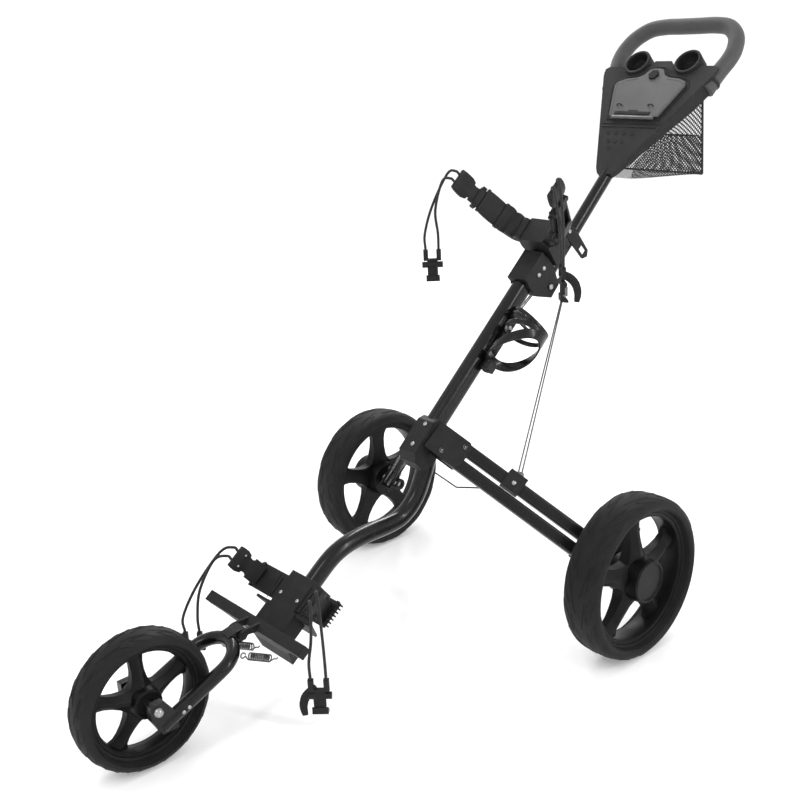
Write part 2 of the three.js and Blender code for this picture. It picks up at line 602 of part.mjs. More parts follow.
// Each pair of strands leaves a buckle's tip, bows outwards and hangs down to its clip.
const CORD_PATHS = {
  upper_left: {
    tip: (s) => SPINE_POINT(118.5, 280 + s, 177.5), clip: [138, 52, 655], lean: -0.7, bow: [26, -16, 10],
  },
  upper_right: {
    tip: (s) => SPINE_POINT(-118.5, 280 + s, 177.5), clip: [-164, 26, 655], lean: 0.8, bow: [-30, -28, 10],
  },
  lower_left: {
    tip: (s) => TOE_POINT(110, -28 + s, 81.8), clip: [128, -528, 92], lean: 0.8, bow: [26, -16, 10],
  },
  lower_right: {
    tip: (s) => TOE_POINT(-110, -28 + s, 81.8), clip: [-146, -590, 92], lean: 0.8, bow: [-26, -44, 16],
  },
};
const STRAND_APART = 9;             // half the distance between a buckle's two cord holes
const SOCKET_APART = 12.5;          // half the distance between a clip's two sockets

function cords() {
  for (const [name, { tip, clip: end, lean, bow }] of Object.entries(CORD_PATHS)) {
    add(`clip_${name}`, clip(end, lean), 'moulded_black');
    for (const [letter, s] of [['a', -1], ['b', 1]]) {
      const side = new THREE.Vector3(Math.cos(lean), Math.sin(lean), 0);
      side.multiplyScalar(SOCKET_APART * Math.sign(bow[0]) * s);
      const from = vector(tip(STRAND_APART * s));
      const to = vector(end).add(side);
      const out = from.clone().add(new THREE.Vector3(bow[0] * 0.2, -5, 7));
      const high = from.clone().add(new THREE.Vector3(bow[0] * 0.55, bow[1] * 0.6, bow[2] * 0.2));
      const mid = from.clone().lerp(to, 0.45).add(vector(bow).multiplyScalar(0.55));
      const low = to.clone().add(new THREE.Vector3(0, 0, 30));
      const route = [from, out, high, mid, low, to].map((p) => p.toArray());
      add(`cord_${name}_${letter}`, sweep(smooth(route), circle(CORD_R, 8), 14), 'cord_black');
    }
  }
}

const handle = handleTube();
mainTube();
frontTube();
centreBracket();
foldBracket();
upperCradle();
handleLatch();
bottleCage();
lowerCradle();
bagShelf();
frontFork();
forkSprings();
consoleTray();
gripLoop();
scorecardLid();
storageNet();
leg();
wheelCarrier();
stayRod();
brakeCable();
brakePedal();
cords();
wheel('rear_left', REAR, TRACK / 2, 0);
wheel('rear_right', REAR, -TRACK / 2, 0);
wheel('front', FRONT, 0, -WHEELBASE);
cart.position.y = CENTRE_Y;

export default cart;
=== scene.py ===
import json
from math import cos, pi, radians, sin

import bmesh
import bpy
from mathutils import Matrix, Quaternion, Vector
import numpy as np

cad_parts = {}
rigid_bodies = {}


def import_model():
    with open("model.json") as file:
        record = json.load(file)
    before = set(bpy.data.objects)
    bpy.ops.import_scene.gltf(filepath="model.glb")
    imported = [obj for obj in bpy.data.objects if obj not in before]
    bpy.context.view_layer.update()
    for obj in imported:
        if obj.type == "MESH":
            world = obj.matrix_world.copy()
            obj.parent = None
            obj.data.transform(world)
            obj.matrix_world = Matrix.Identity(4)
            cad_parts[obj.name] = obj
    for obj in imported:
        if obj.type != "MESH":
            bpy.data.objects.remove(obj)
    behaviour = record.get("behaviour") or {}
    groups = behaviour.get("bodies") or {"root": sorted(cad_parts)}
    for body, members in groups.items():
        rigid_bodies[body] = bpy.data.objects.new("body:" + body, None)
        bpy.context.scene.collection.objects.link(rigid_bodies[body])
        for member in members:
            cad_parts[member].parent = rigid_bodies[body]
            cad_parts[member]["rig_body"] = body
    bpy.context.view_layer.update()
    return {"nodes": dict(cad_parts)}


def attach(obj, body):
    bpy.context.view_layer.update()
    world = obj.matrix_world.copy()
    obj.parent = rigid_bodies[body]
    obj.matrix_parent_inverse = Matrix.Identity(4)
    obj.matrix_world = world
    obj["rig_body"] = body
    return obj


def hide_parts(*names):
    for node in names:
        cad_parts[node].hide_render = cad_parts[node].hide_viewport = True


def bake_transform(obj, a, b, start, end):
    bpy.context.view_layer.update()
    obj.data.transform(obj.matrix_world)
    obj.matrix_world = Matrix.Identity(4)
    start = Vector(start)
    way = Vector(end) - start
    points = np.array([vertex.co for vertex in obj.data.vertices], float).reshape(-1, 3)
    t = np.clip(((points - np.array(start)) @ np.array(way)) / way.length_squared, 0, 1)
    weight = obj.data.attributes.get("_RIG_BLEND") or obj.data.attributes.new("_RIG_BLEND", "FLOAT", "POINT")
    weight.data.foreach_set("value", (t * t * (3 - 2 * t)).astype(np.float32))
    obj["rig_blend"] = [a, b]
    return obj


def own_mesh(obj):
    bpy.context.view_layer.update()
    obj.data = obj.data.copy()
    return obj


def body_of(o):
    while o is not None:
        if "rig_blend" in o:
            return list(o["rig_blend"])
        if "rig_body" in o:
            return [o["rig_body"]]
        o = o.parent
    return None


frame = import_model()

MM = 0.001
CENTRE_Y = 125              # the rear axle stands this far behind the middle of the cart, in mm

# ---------------- camera and light
CAMERA_PLACE = Vector((1.380, -1.2839, 1.060))
CAMERA_AIM = Vector((0.0021, -0.0933, 0.4493))
CAMERA_ROLL = radians(-2.97)
CAMERA_LENS = 49.9          # mm, on a sensor 36 mm wide


def aim_from(place, data, target, roll=0.0):
    """A camera or a light at a place, turned to look at a target."""
    obj = bpy.data.objects.new(data.name, data)
    obj.location = place
    obj.rotation_mode = "QUATERNION"
    turn = (Vector(target) - Vector(place)).to_track_quat("-Z", "Y")
    obj.rotation_quaternion = turn @ Quaternion((0, 0, 1), roll)
    bpy.context.scene.collection.objects.link(obj)
    return obj


def add_camera():
    data = bpy.data.cameras.new("camera")
    data.lens = CAMERA_LENS
    data.sensor_width = 36
    data.clip_start = 0.05
    bpy.context.scene.camera = aim_from(CAMERA_PLACE, data, CAMERA_AIM, CAMERA_ROLL)


add_camera()

# ---------------- places
# Each place takes points in mm to the row frame in metres.


def slope(origin, tilt):
    """Local Y runs up a slope in the cart's middle plane."""
    x, y, z = origin
    shift = Matrix.Translation(Vector((x, y + CENTRE_Y, z)) * MM)
    return shift @ Matrix.Rotation(radians(tilt), 4, "X") @ Matrix.Scale(MM, 4)


GROUND = slope((0, 0, 0), 0)
SPINE_TILT = 41.5
SPINE = slope((0, -37, 470), SPINE_TILT)
TOE = slope((0, -440, 173), 37)
CONSOLE_TILT = 46.6
CONSOLE = slope((0, 340, 774), CONSOLE_TILT)


def leg_place():
    along = Vector((0.718, 0.396, -0.569)).normalized()
    up = Vector((0, cos(radians(SPINE_TILT)), sin(radians(SPINE_TILT))))
    up = (up - along * up.dot(along)).normalized()
    turn = Matrix((along, up, along.cross(up))).transposed().to_4x4()
    root = Matrix.Translation(Vector((36, -158 + CENTRE_Y, 344)) * MM)
    return root @ turn @ Matrix.Scale(MM, 4)


LEG = leg_place()           # X along the left leg, Y up the spine, Z across the leg
LEG_LENGTH = 300
LEG_OFFSET = 30
LEG_BAR = (18, 23, 5)       # wide, deep, corner


def at(place, *point):
    return place @ Vector(point)


def aimed(place, point, direction):
    """A place whose origin is a point, and whose Z looks along a direction."""
    turn = Vector(direction).to_track_quat("Z", "Y").to_matrix().to_4x4()
    return place @ Matrix.Translation(Vector(point)) @ turn


# ---------------- materials


def linear(hex_colour):
    """An sRGB hex colour as linear values with alpha."""
    values = [int(hex_colour[i:i + 2], 16) / 255 for i in (1, 3, 5)]
    return [v / 12.92 if v <= 0.04045 else ((v + 0.055) / 1.055) ** 2.4 for v in values] + [1.0]


def add(tree, kind, inputs=None, **settings):
    """Adds a node. Each input is a value, or the output socket that it is linked to."""
    node = tree.nodes.new(kind)
    for name, value in settings.items():
        setattr(node, name, value)
    for name, value in (inputs or {}).items():
        if isinstance(value, bpy.types.NodeSocket):
            tree.links.new(value, node.inputs[name])
        else:
            node.inputs[name].default_value = value
    return node


def new_material(name, **shader):
    """A material with a Principled shader whose constant values are set on its own sockets."""
    material = bpy.data.materials.new(name)
    material.use_nodes = True
    tree = material.node_tree
    for socket, value in shader.items():
        tree.nodes["Principled BSDF"].inputs[socket.replace("_", " ")].default_value = value
    add(tree, "ShaderNodeTexCoord", name="coordinates")
    return material


def parts_of(material):
    """A material's node tree, its shader, and the coordinates that its patterns lie on."""
    tree = material.node_tree
    return tree, tree.nodes["Principled BSDF"], tree.nodes["coordinates"].outputs["Object"]


def cloud(material, scale, detail):
    """Drifting values between 0 and 1."""
    tree, _, where = parts_of(material)
    node = add(tree, "ShaderNodeTexNoise", {"Vector": where, "Scale": scale, "Detail": detail})
    return node.outputs["Fac"]


def two_tone(tree, share, dark, light):
    """A ramp from a dark to a light grey."""
    ramp = add(tree, "ShaderNodeValToRGB", {"Fac": share})
    for stop, grey in zip(ramp.color_ramp.elements, (dark, light)):
        stop.color = linear(grey)
    return ramp


def mottle(material, dark, light, scale):
    """A colour that drifts between two greys, as a moulded or coated surface does."""
    tree, shader, _ = parts_of(material)
    ramp = two_tone(tree, cloud(material, scale, 4.0), dark, light)
    ramp.color_ramp.elements[0].position = 0.3
    ramp.color_ramp.elements[1].position = 0.7
    tree.links.new(ramp.outputs["Color"], shader.inputs["Base Color"])


def bump_from(tree, shader, height, strength, depth_mm):
    bump = add(tree, "ShaderNodeBump", {"Height": height, "Strength": strength, "Distance": depth_mm * MM})
    tree.links.new(bump.outputs["Normal"], shader.inputs["Normal"])


def grain(material, size_mm, strength, depth_mm):
    """A fine bump of a given grain size."""
    tree, shader, _ = parts_of(material)
    bump_from(tree, shader, cloud(material, 1 / (size_mm * MM), 2.0), strength, depth_mm)


def uneven_gloss(material, low, high, scale):
    """A roughness that drifts, from handling and dust."""
    tree, shader, _ = parts_of(material)
    share = cloud(material, scale, 3.0)
    spread = add(tree, "ShaderNodeMapRange", {"Value": share, "To Min": low, "To Max": high})
    tree.links.new(spread.outputs["Result"], shader.inputs["Roughness"])


def maths(tree, operation, *values):
    """The result of a maths node on one or two values."""
    return add(tree, "ShaderNodeMath", dict(enumerate(values)), operation=operation).outputs["Value"]


def powder_coat():
    """Gloss black powder-coated steel: a thick sprayed film with a slight orange peel of about 2 mm."""
    material = new_material("gloss_black_powder_coat", Specular_IOR_Level=0.22, Coat_Weight=0.12,
                            Coat_Roughness=0.1)
    mottle(material, "#0b0b0b", "#111111", 30)
    uneven_gloss(material, 0.2, 0.32, 60)
    grain(material, 2.0, 0.12, 0.05)
    return material


def moulded_nylon():
    """Glass-filled nylon, injection moulded in a spark-eroded tool: matt, with a grain under 1 mm."""
    material = new_material("moulded_glass_filled_nylon", Specular_IOR_Level=0.2)
    mottle(material, "#171717", "#1e1e1e", 45)
    uneven_gloss(material, 0.48, 0.62, 35)
    grain(material, 0.9, 0.35, 0.12)
    return material


def console_abs():
    """Textured ABS mouldings: a dark satin grey with a leathery grain of about 1 mm."""
    material = new_material("textured_abs", Specular_IOR_Level=0.16)
    mottle(material, "#1e1e1e", "#262626", 28)
    uneven_gloss(material, 0.45, 0.58, 30)
    grain(material, 1.1, 0.3, 0.12)
    return material


def smoke_acrylic():
    """Smoke-grey acrylic with a frosted back: an even mid grey under a satin surface."""
    material = new_material("frosted_smoke_acrylic", Specular_IOR_Level=0.25, Coat_Weight=0.15,
                            Coat_Roughness=0.25)
    mottle(material, "#4c4c4c", "#585858", 12)
    uneven_gloss(material, 0.34, 0.46, 25)
    grain(material, 0.8, 0.08, 0.05)
    return material


def eva_foam():
    """Closed-cell EVA foam sleeve: dull, with cells of about 1 mm that catch the light."""
    material = new_material("closed_cell_eva_foam", Sheen_Weight=0.12, Sheen_Roughness=0.5)
    mottle(material, "#363636", "#404040", 40)
    uneven_gloss(material, 0.62, 0.78, 40)
    grain(material, 1.2, 0.5, 0.2)
    return material


def tyre_rubber():
    """Moulded solid tyre in EVA rubber: dark grey with a dusty bloom and a faint skin."""
    material = new_material("moulded_tyre_rubber", Specular_IOR_Level=0.14)
    mottle(material, "#181818", "#202020", 22)
    uneven_gloss(material, 0.5, 0.68, 18)
    grain(material, 1.4, 0.3, 0.12)
    return material


def rim_polypropylene():
    """Polypropylene wheel moulding, satin, nearly black."""
    material = new_material("satin_moulded_polypropylene", Specular_IOR_Level=0.14)
    mottle(material, "#0e0e0e", "#141414", 25)
    uneven_gloss(material, 0.36, 0.5, 25)
    grain(material, 1.0, 0.2, 0.08)
    return material


def zinc_plate():
    """Bright zinc-plated steel: a silvery metal with a slightly cloudy polish."""
    material = new_material("bright_zinc_plate", Metallic=1.0)
    mottle(material, "#8c8c8c", "#b4b4b4", 180)
    uneven_gloss(material, 0.2, 0.38, 120)
    return material


def dark_zinc():
    """Black-passivated zinc wire: a dull dark metal, a little lighter where it has been drawn."""
    material = new_material("black_passivated_zinc", Metallic=1.0)
    mottle(material, "#5c5c5c", "#7e7e7e", 220)
    uneven_gloss(material, 0.28, 0.45, 150)
    return material


def braided_cord():
    """Elastic cord in a braided cover. Its plaits are about 1 mm; here they are 1.6 mm, so that they show."""
    material = new_material("braided_elastic_cord", Sheen_Weight=0.1, Roughness=0.75)
    tree, shader, where = parts_of(material)
    plaits = []
    for side in (45, -45):
        turn = (radians(side), radians(side), 0)
        way = add(tree, "ShaderNodeMapping", {"Vector": where, "Rotation": turn}).outputs["Vector"]
        plaits.append(add(tree, "ShaderNodeTexWave", {"Vector": way, "Scale": 200.0}).outputs["Fac"])
    weave = maths(tree, "MAXIMUM", *plaits)
    # The colour follows the plait height: lighter on the raised plaits and darker in the grooves between
    # them, which is painted shade.
    colour = two_tone(tree, weave, "#060606", "#141414").outputs["Color"]
    tree.links.new(colour, shader.inputs["Base Color"])
    bump_from(tree, shader, weave, 0.6, 0.2)
    return material


NET_PITCH = 4.5             # mm between strands; the mesh is read from the piece's own UV map, in metres
STRAND_SHARE = 0.42         # of the pitch that a strand covers


def polyester_net():
    """Knotless polyester net: crossing strands, open between them."""
    material = new_material("knotless_polyester_net", Base_Color=linear("#1a1a1a"), Roughness=0.8,
                            Sheen_Weight=0.2)
    tree, shader, _ = parts_of(material)
    uv = add(tree, "ShaderNodeUVMap", uv_map="net").outputs["UV"]
    turned_uv = add(tree, "ShaderNodeMapping", {"Vector": uv, "Rotation": (0, 0, radians(45))})
    axes = add(tree, "ShaderNodeSeparateXYZ", {"Vector": turned_uv.outputs["Vector"]})
    strands = []
    for axis in ("X", "Y"):
        part = maths(tree, "FRACT", maths(tree, "DIVIDE", axes.outputs[axis], NET_PITCH * MM))
        strands.append(maths(tree, "LESS_THAN", part, STRAND_SHARE))
    tree.links.new(maths(tree, "MAXIMUM", *strands), shader.inputs["Alpha"])
    return material


MATERIALS = {
    "powder_coat": powder_coat(),
    "dark_zinc": dark_zinc(),
    "moulded_nylon": moulded_nylon(),
    "console_abs": console_abs(),
    "smoke_lid": smoke_acrylic(),
    "foam_grip": eva_foam(),
    "tyre": tyre_rubber(),
    "wheel_rim": rim_polypropylene(),
    "zinc_steel": zinc_plate(),
    "elastic_cord": braided_cord(),
    "net": polyester_net(),
}

# ---------------- pieces
SHARP_ANGLE = 38            # degrees between faces, above which an edge stays sharp
BEVEL_ANGLE = 35            # degrees between faces, above which an edge is rounded off


def as_mesh(name, bm):
    mesh = bpy.data.meshes.new(name)
    bm.to_mesh(mesh)
    bm.free()
    return mesh


def set_up(obj, body, slot, smooth=SHARP_ANGLE):
    """Links a piece, gives it its finish and lets it ride on its body."""
    bpy.context.scene.collection.objects.link(obj)
    obj.data.materials.clear()
    obj.data.materials.append(MATERIALS[slot])
    if obj.type == "MESH":
        obj.data.shade_smooth()
        obj.data.set_sharp_from_angle(angle=radians(smooth))
    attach(obj, body)
    return obj


def soften_edges(obj, width_mm):
    bevel = obj.modifiers.new("edges", "BEVEL")
    bevel.width = width_mm * MM
    bevel.segments = 2
    bevel.limit_method = "ANGLE"
    bevel.angle_limit = radians(BEVEL_ANGLE)
    bevel.harden_normals = True


def piece(name, bm, body, slot, place=GROUND, flip=False, bevel=0, smooth=SHARP_ANGLE, replaces=()):
    """A closed mesh, drawn in mm in a place. flip puts it on the other side of the middle plane."""
    bmesh.ops.transform(bm, matrix=place, verts=bm.verts)
    if flip:
        bmesh.ops.scale(bm, vec=(-1, 1, 1), verts=bm.verts)
    bmesh.ops.remove_doubles(bm, verts=bm.verts, dist=0.01 * MM)
    bmesh.ops.recalc_face_normals(bm, faces=bm.faces)
    obj = set_up(bpy.data.objects.new(name, as_mesh(name, bm)), body, slot, smooth)
    if bevel:
        soften_edges(obj, bevel)
    if replaces:
        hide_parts(*replaces)
    return obj


def rounded_copy(node, width_mm, slot, name=None):
    """The CAD node's own shape with its edges rounded off."""
    bm = bmesh.new()
    bm.from_mesh(frame["nodes"][node].data)
    bmesh.ops.remove_doubles(bm, verts=bm.verts, dist=0.02 * MM)
    bmesh.ops.dissolve_limit(bm, angle_limit=radians(1.5), verts=bm.verts, edges=bm.edges)
    mesh = as_mesh(name or f"{node}_moulding", bm)
    obj = set_up(bpy.data.objects.new(mesh.name, mesh), body_of(frame["nodes"][node])[0], slot)
    soften_edges(obj, width_mm)
    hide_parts(node)
    return obj


def box(bm, x0, x1, y0, y1, z0, z1):
    centre = Vector((x0 + x1, y0 + y1, z0 + z1)) / 2
    size = Matrix.Diagonal((x1 - x0, y1 - y0, z1 - z0, 1))
    bmesh.ops.create_cube(bm, size=1, matrix=Matrix.Translation(centre) @ size)


def plate(bm, outline, z0, z1):
    """An outline drawn in X and Y, given a thickness in Z."""
    face = bm.faces.new([bm.verts.new((x, y, z0)) for x, y in outline])
    lifted = bmesh.ops.extrude_face_region(bm, geom=[face])["geom"]
    moved = [v for v in lifted if isinstance(v, bmesh.types.BMVert)]
    bmesh.ops.translate(bm, vec=(0, 0, z1 - z0), verts=moved)


def turned(bm, profile, steps=32, place=None):
    """A profile of (radius, height) points spun about Z; closed where its ends are off the axis."""
    before = set(bm.verts)
    verts = [bm.verts.new((r, 0, h)) for r, h in profile]
    edges = [bm.edges.new(pair) for pair in zip(verts, verts[1:])]
    if profile[0][0] > 0.01:
        edges.append(bm.edges.new((verts[-1], verts[0])))
    bmesh.ops.spin(
        bm, geom=verts + edges, cent=(0, 0, 0), axis=(0, 0, 1), angle=2 * pi, steps=steps, use_merge=True)
    if place is not None:
        bmesh.ops.transform(bm, matrix=place, verts=[v for v in bm.verts if v not in before])


def loft(bm, sections, closed=False):
    """Joins closed sections, each a list of points in the same order, and caps the two ends or joins them."""
    loops = []
    for section in sections:
        verts = [bm.verts.new(p) for p in section]
        loops.append([bm.edges.new((a, b)) for a, b in zip(verts, verts[1:] + verts[:1])])
    for low, high in zip(loops, loops[1:]):
        bmesh.ops.bridge_loops(bm, edges=low + high)
    if closed:
        bmesh.ops.bridge_loops(bm, edges=loops[-1] + loops[0])
        return
    for loop in (loops[0], loops[-1]):
        bmesh.ops.holes_fill(bm, edges=loop, sides=len(loop))


def swept(bm, line, shapes, across, closed=False):
    """Carries shapes, lists of (across, up) points, along a line; across stays near the given vector."""
    line = [Vector(p) for p in line]
    last = len(line) - 1
    sections = []
    for i, (point, shape) in enumerate(zip(line, shapes)):
        before = line[i - 1] if closed or i else line[0]
        after = line[(i + 1) % len(line)] if closed else line[min(i + 1, last)]
        ahead = (after - before).normalized()
        up = ahead.cross(Vector(across)).normalized()
        side = up.cross(ahead)
        sections.append([point + side * a + up * b for a, b in shape])
    loft(bm, sections, closed)


def wire(bm, line, radius, sides=8):
    """A round wire along a line, carried without twist."""
    line = [Vector(p) for p in line]
    last = len(line) - 1
    side = Vector((0.9, 0.3, 0.1))
    sections = []
    for i, point in enumerate(line):
        ahead = (line[min(i + 1, last)] - line[max(i - 1, 0)]).normalized()
        side = (side - ahead * side.dot(ahead)).normalized()
        up = ahead.cross(side)
        sections.append([point + side * a + up * b for a, b in round_section(radius, sides)])
    loft(bm, sections)


def slab(wide, deep, corner=1.5, lift=0.0, segments=3):
    """A section with round corners, lifted off the line that carries it."""
    return [(a, b + lift) for a, b in rounded_rectangle(wide, deep, corner, segments)]


def round_section(radius, sides=10):
    return [(radius * cos(2 * pi * i / sides), radius * sin(2 * pi * i / sides)) for i in range(sides)]


def rounded_rectangle(wide, deep, corner, segments=8):
    """An outline in X and Y with round corners."""
    points = []
    for sx, sy, start in ((1, 1, 0), (-1, 1, 90), (-1, -1, 180), (1, -1, 270)):
        for i in range(segments + 1):
            angle = radians(start + 90 * i / segments)
            points.append((sx * (wide / 2 - corner) + corner * cos(angle),
                           sy * (deep / 2 - corner) + corner * sin(angle)))
    return points


def stretch(line, start, end, steps):
    """Part of a line, between two shares of its length in points."""
    last = len(line) - 1
    return [line[round(last * (start + (end - start) * i / steps))] for i in range(steps + 1)]


def catmull(points, per_span):
    """A smooth line through the points, as the CAD routes are."""
    pts = [Vector(p) for p in points]
    pts = [2 * pts[0] - pts[1], *pts, 2 * pts[-1] - pts[-2]]
    line = []
    for a, b, c, d in zip(pts, pts[1:], pts[2:], pts[3:]):
        for i in range(per_span):
            t = i / per_span
            line.append(0.5 * (2 * b + (c - a) * t + (2 * a - 5 * b + 4 * c - d) * t * t
                               + (3 * b - a - 3 * c + d) * t ** 3))
    return [*line, pts[-2]]


def line_piece(name, lines, radius_mm, body, slot, place=GROUND, sides=6, closed=False, replaces=()):
    """Round lines along lists of points: tubes, cords, seams and moulded lines."""
    data = bpy.data.curves.new(name, "CURVE")
    data.dimensions = "3D"
    data.bevel_depth = radius_mm * MM
    data.bevel_resolution = sides
    data.use_fill_caps = True
    for points in lines:
        spline = data.splines.new("POLY")
        spline.points.add(len(points) - 1)
        for target, point in zip(spline.points, points):
            target.co = (*(place @ Vector(point)), 1)
        spline.use_cyclic_u = closed
        spline.use_smooth = True
    obj = set_up(bpy.data.objects.new(name, data), body, slot)
    if replaces:
        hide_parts(*replaces)
    return obj


def spots_piece(name, body, slot, profile, spots, steps=16):
    """The same small turned shape at several spots, each a place, a point and a direction."""
    bm = bmesh.new()
    for place, point, direction in spots:
        turned(bm, profile, steps, aimed(place, point, direction))
    return piece(name, bm, body, slot, Matrix.Identity(4), smooth=60)


def rivet_heads(name, body, spots, radius, height):
    """Domed zinc rivets."""
    dome = [(0, height), (radius * 0.5, height * 0.86), (radius * 0.85, height * 0.5), (radius, 0.15),
            (radius, -1), (0, -1)]
    return spots_piece(name, body, "zinc_steel", dome, spots)


def hole_mouths(name, body, slot, spots, radius):
    """The mouths of small holes: a raised lip, and a near-black disc inside that is painted shade for the
    depth of the hole.
    """
    lip = [(radius, 0.1), (radius, 0.9), (radius * 1.3, 0.9), (radius * 1.45, -0.3), (radius, -0.3)]
    floor = [(0, 0.2), (radius * 1.05, 0.2), (radius * 1.05, -0.3), (0, -0.3)]
    spots_piece(f"{name}_lips", body, slot, lip, spots)
    # The near-black disc is painted shade: it stands in for the shaded inside of each hole.
    spots_piece(f"{name}_shade_discs", body, "elastic_cord", floor, spots)


# ---------------- elastic cords
CORD_RADIUS = 2.5
STRAND_APART = 9
SOCKET_APART = 12.5
CORD_PATHS = {              # place, buckle's tip, clip, lean of its sockets in radians, bow
    "upper_left": (SPINE, (118.5, 280, 177.5), (138, 52, 655), -0.7, (26, -16, 10)),
    "upper_right": (SPINE, (-118.5, 280, 177.5), (-164, 26, 655), 0.8, (-30, -28, 10)),
    "lower_left": (TOE, (110, -28, 81.8), (128, -528, 92), 0.8, (26, -16, 10)),
    "lower_right": (TOE, (-110, -28, 81.8), (-146, -590, 92), 0.8, (-26, -44, 16)),
}
BLADES = {"upper_left": 0.8, "lower_left": 0.8 + pi}      # which way each blade curves, in radians


def strand_route(place, tip, clip, lean, bow, side):
    """From a buckle's tip, out in a bow, and down to a socket of the clip. In the row frame, in metres."""
    start = at(place, tip[0], tip[1] + STRAND_APART * side, tip[2])
    socket = Vector((cos(lean), sin(lean), 0)) * (SOCKET_APART * side * (1 if bow[0] > 0 else -1))
    end = at(GROUND, *(Vector(clip) + socket))
    bow = Vector(bow) * MM
    out = start + Vector((bow.x * 0.2, -5 * MM, 7 * MM))
    high = start + Vector((bow.x * 0.55, bow.y * 0.6, bow.z * 0.2))
    middle = start.lerp(end, 0.45) + bow * 0.55
    low = end + Vector((0, 0, 30 * MM))
    return catmull([start, out, high, middle, low, end], 5)


def hook_blade(name, clip, way):
    """The long curved blade of a hook clip, upright."""
    out = Vector((cos(way), sin(way), 0))
    line = [Vector(clip) + out * a + Vector((0, 0, b))
            for a, b, _ in catmull([(3, -16, 0), (14, -23, 0), (23, -34, 0), (27, -50, 0), (25, -66, 0)], 3)]
    bm = bmesh.new()
    swept(bm, line, [slab(wide, 4, 1.4) for wide in (13, 14, 15, 15, 15, 15, 15, 14, 14, 13, 12, 11, 9)], out)
    return piece(f"hook_blade_{name}", bm, "frame", "moulded_nylon", GROUND, bevel=0.6)


def elastic_cords():
    for name, (place, tip, clip, lean, bow) in CORD_PATHS.items():
        hook = rounded_copy(f"clip_{name}", 1.0, "moulded_nylon")
        if name in BLADES:
            hook_blade(name, clip, BLADES[name])
        for letter, side in (("a", -1), ("b", 1)):
            route = strand_route(place, tip, clip, lean, bow, side)
            node = f"cord_{name}_{letter}"
            strand = line_piece(f"elastic_{name}_{letter}", [route], CORD_RADIUS, "frame", "elastic_cord",
                                Matrix.Identity(4), sides=4, replaces=[node])


elastic_cords()

# ---------------- wheels
REAR = {"radius": 146, "width": 74, "rim": 118, "hub": 34, "ridge": 20, "cap": 38}
FRONT = {"radius": 112, "width": 60, "rim": 88, "hub": 25, "ridge": 14, "cap": 24}
SPOKES = 5
LEAVES = 15
WHEEL_STEPS = 96            # round a tyre or a rim
SPOKE_BACK = 9              # mm that a spoke reaches behind the wheel's middle plane
RIDGE_HALF = 2.4            # half the flat along a spoke's ridge
SPOKE_STATIONS = [          # share of the length, half width per hub radius, height per ridge
    (0.0, 0.86, 1.12), (0.1, 0.66, 1.06), (0.25, 0.5, 0.96), (0.45, 0.42, 0.82), (0.65, 0.42, 0.68),
    (0.8, 0.5, 0.58), (0.92, 0.72, 0.5), (1.0, 1.1, 0.46),
]


def tyre_profile(size):
    """(radius, across) from the outer bead over the tread to the inner bead."""
    radius, half, seat = size["radius"], size["width"] / 2, size["rim"] + 0.3
    shoulder = radius - 15
    outer = [(seat, half - 15), (seat + 4, half - 14), (seat + 6, half - 6), (seat + 8, half - 2.5)]
    for i in range(7):
        angle = radians(90 * i / 6)
        outer.append((shoulder + 13.5 * sin(angle), half - 18 + 18 * cos(angle)))
    outer.append((radius - 0.4, half * 0.28))
    outer.append((radius, half * 0.12))
    return outer


def tread_radius(size, across):
    """The tyre's outer radius at a distance from its middle plane."""
    side = sorted((x, r) for r, x in tyre_profile(size) if r > size["radius"] - 16)
    across = min(max(abs(across), side[0][0]), side[-1][0])
    for (x0, r0), (x1, r1) in zip(side, side[1:]):
        if x0 <= across <= x1 and x1 > x0:
            return r0 + (r1 - r0) * (across - x0) / (x1 - x0)
    return side[-1][1]


def on_tread(size, angle, across):
    radius = tread_radius(size, across)
    return (radius * cos(angle), radius * sin(angle), across)


def leaf_lines(size):
    """Pointed leaf outlines and long veins, raised on both shoulders of the tread."""
    half = size["width"] / 2
    lines = []
    for side in (1, -1):
        for i in range(LEAVES):
            start = 2 * pi * (i + (0.5 if side < 0 else 0)) / LEAVES
            long = 2 * pi / LEAVES
            for bulge in (1, -1):
                points = []
                for k in range(11):
                    t = k / 10
                    across = half * (0.86 - 0.42 * t) + bulge * half * 0.17 * sin(pi * t)
                    points.append(on_tread(size, start + long * 1.02 * t, side * across))
                lines.append(points)
            lines.append([
                on_tread(size, start + long * (0.35 + 0.9 * t), side * half * (0.38 - 0.26 * t ** 1.5))
                for t in (k / 8 for k in range(9))
            ])
    return lines


def wheel_place(centre, outward):
    """Z looks out of the wheel, along the axle."""
    turn = Vector((outward, 0, 0)).to_track_quat("Z", "Y").to_matrix().to_4x4()
    return GROUND @ Matrix.Translation(Vector(centre)) @ turn


def ring(radius, height):
    return [(x, y, height) for x, y in round_section(radius, WHEEL_STEPS)]


def tyre_piece(name, size, place, body, node):
    bm = bmesh.new()
    outer = tyre_profile(size)
    profile = outer + [(r, -x) for r, x in reversed(outer)]
    turned(bm, profile, WHEEL_STEPS)
    piece(f"{name}_tyre_casing", bm, body, "tyre", place, smooth=50, replaces=[node])
    line_piece(f"{name}_tread_lines", leaf_lines(size), 0.75, body, "tyre", place, sides=1)
    rings = [ring(size["rim"] + 7, side * (size["width"] / 2 - 4.4)) for side in (1, -1)]
    line_piece(f"{name}_mould_lines", rings, 0.6, body, "tyre", place, sides=1, closed=True)


def spoke_sections(size):
    """Roof-shaped sections that flare into the hub and the barrel."""
    inner, outer = size["hub"] - 6, size["rim"] - 4
    sections = []
    for along, wide, high in SPOKE_STATIONS:
        radius = inner + (outer - inner) * along
        half = wide * size["hub"] * 1.02
        top = size["ridge"] * high
        edge = top - SPOKE_BACK
        outline = [(-half, -SPOKE_BACK), (half, -SPOKE_BACK), (half, edge), (RIDGE_HALF, top),
                   (-RIDGE_HALF, top), (-half, edge)]
        sections.append([(radius, y, z) for y, z in outline])
    return sections


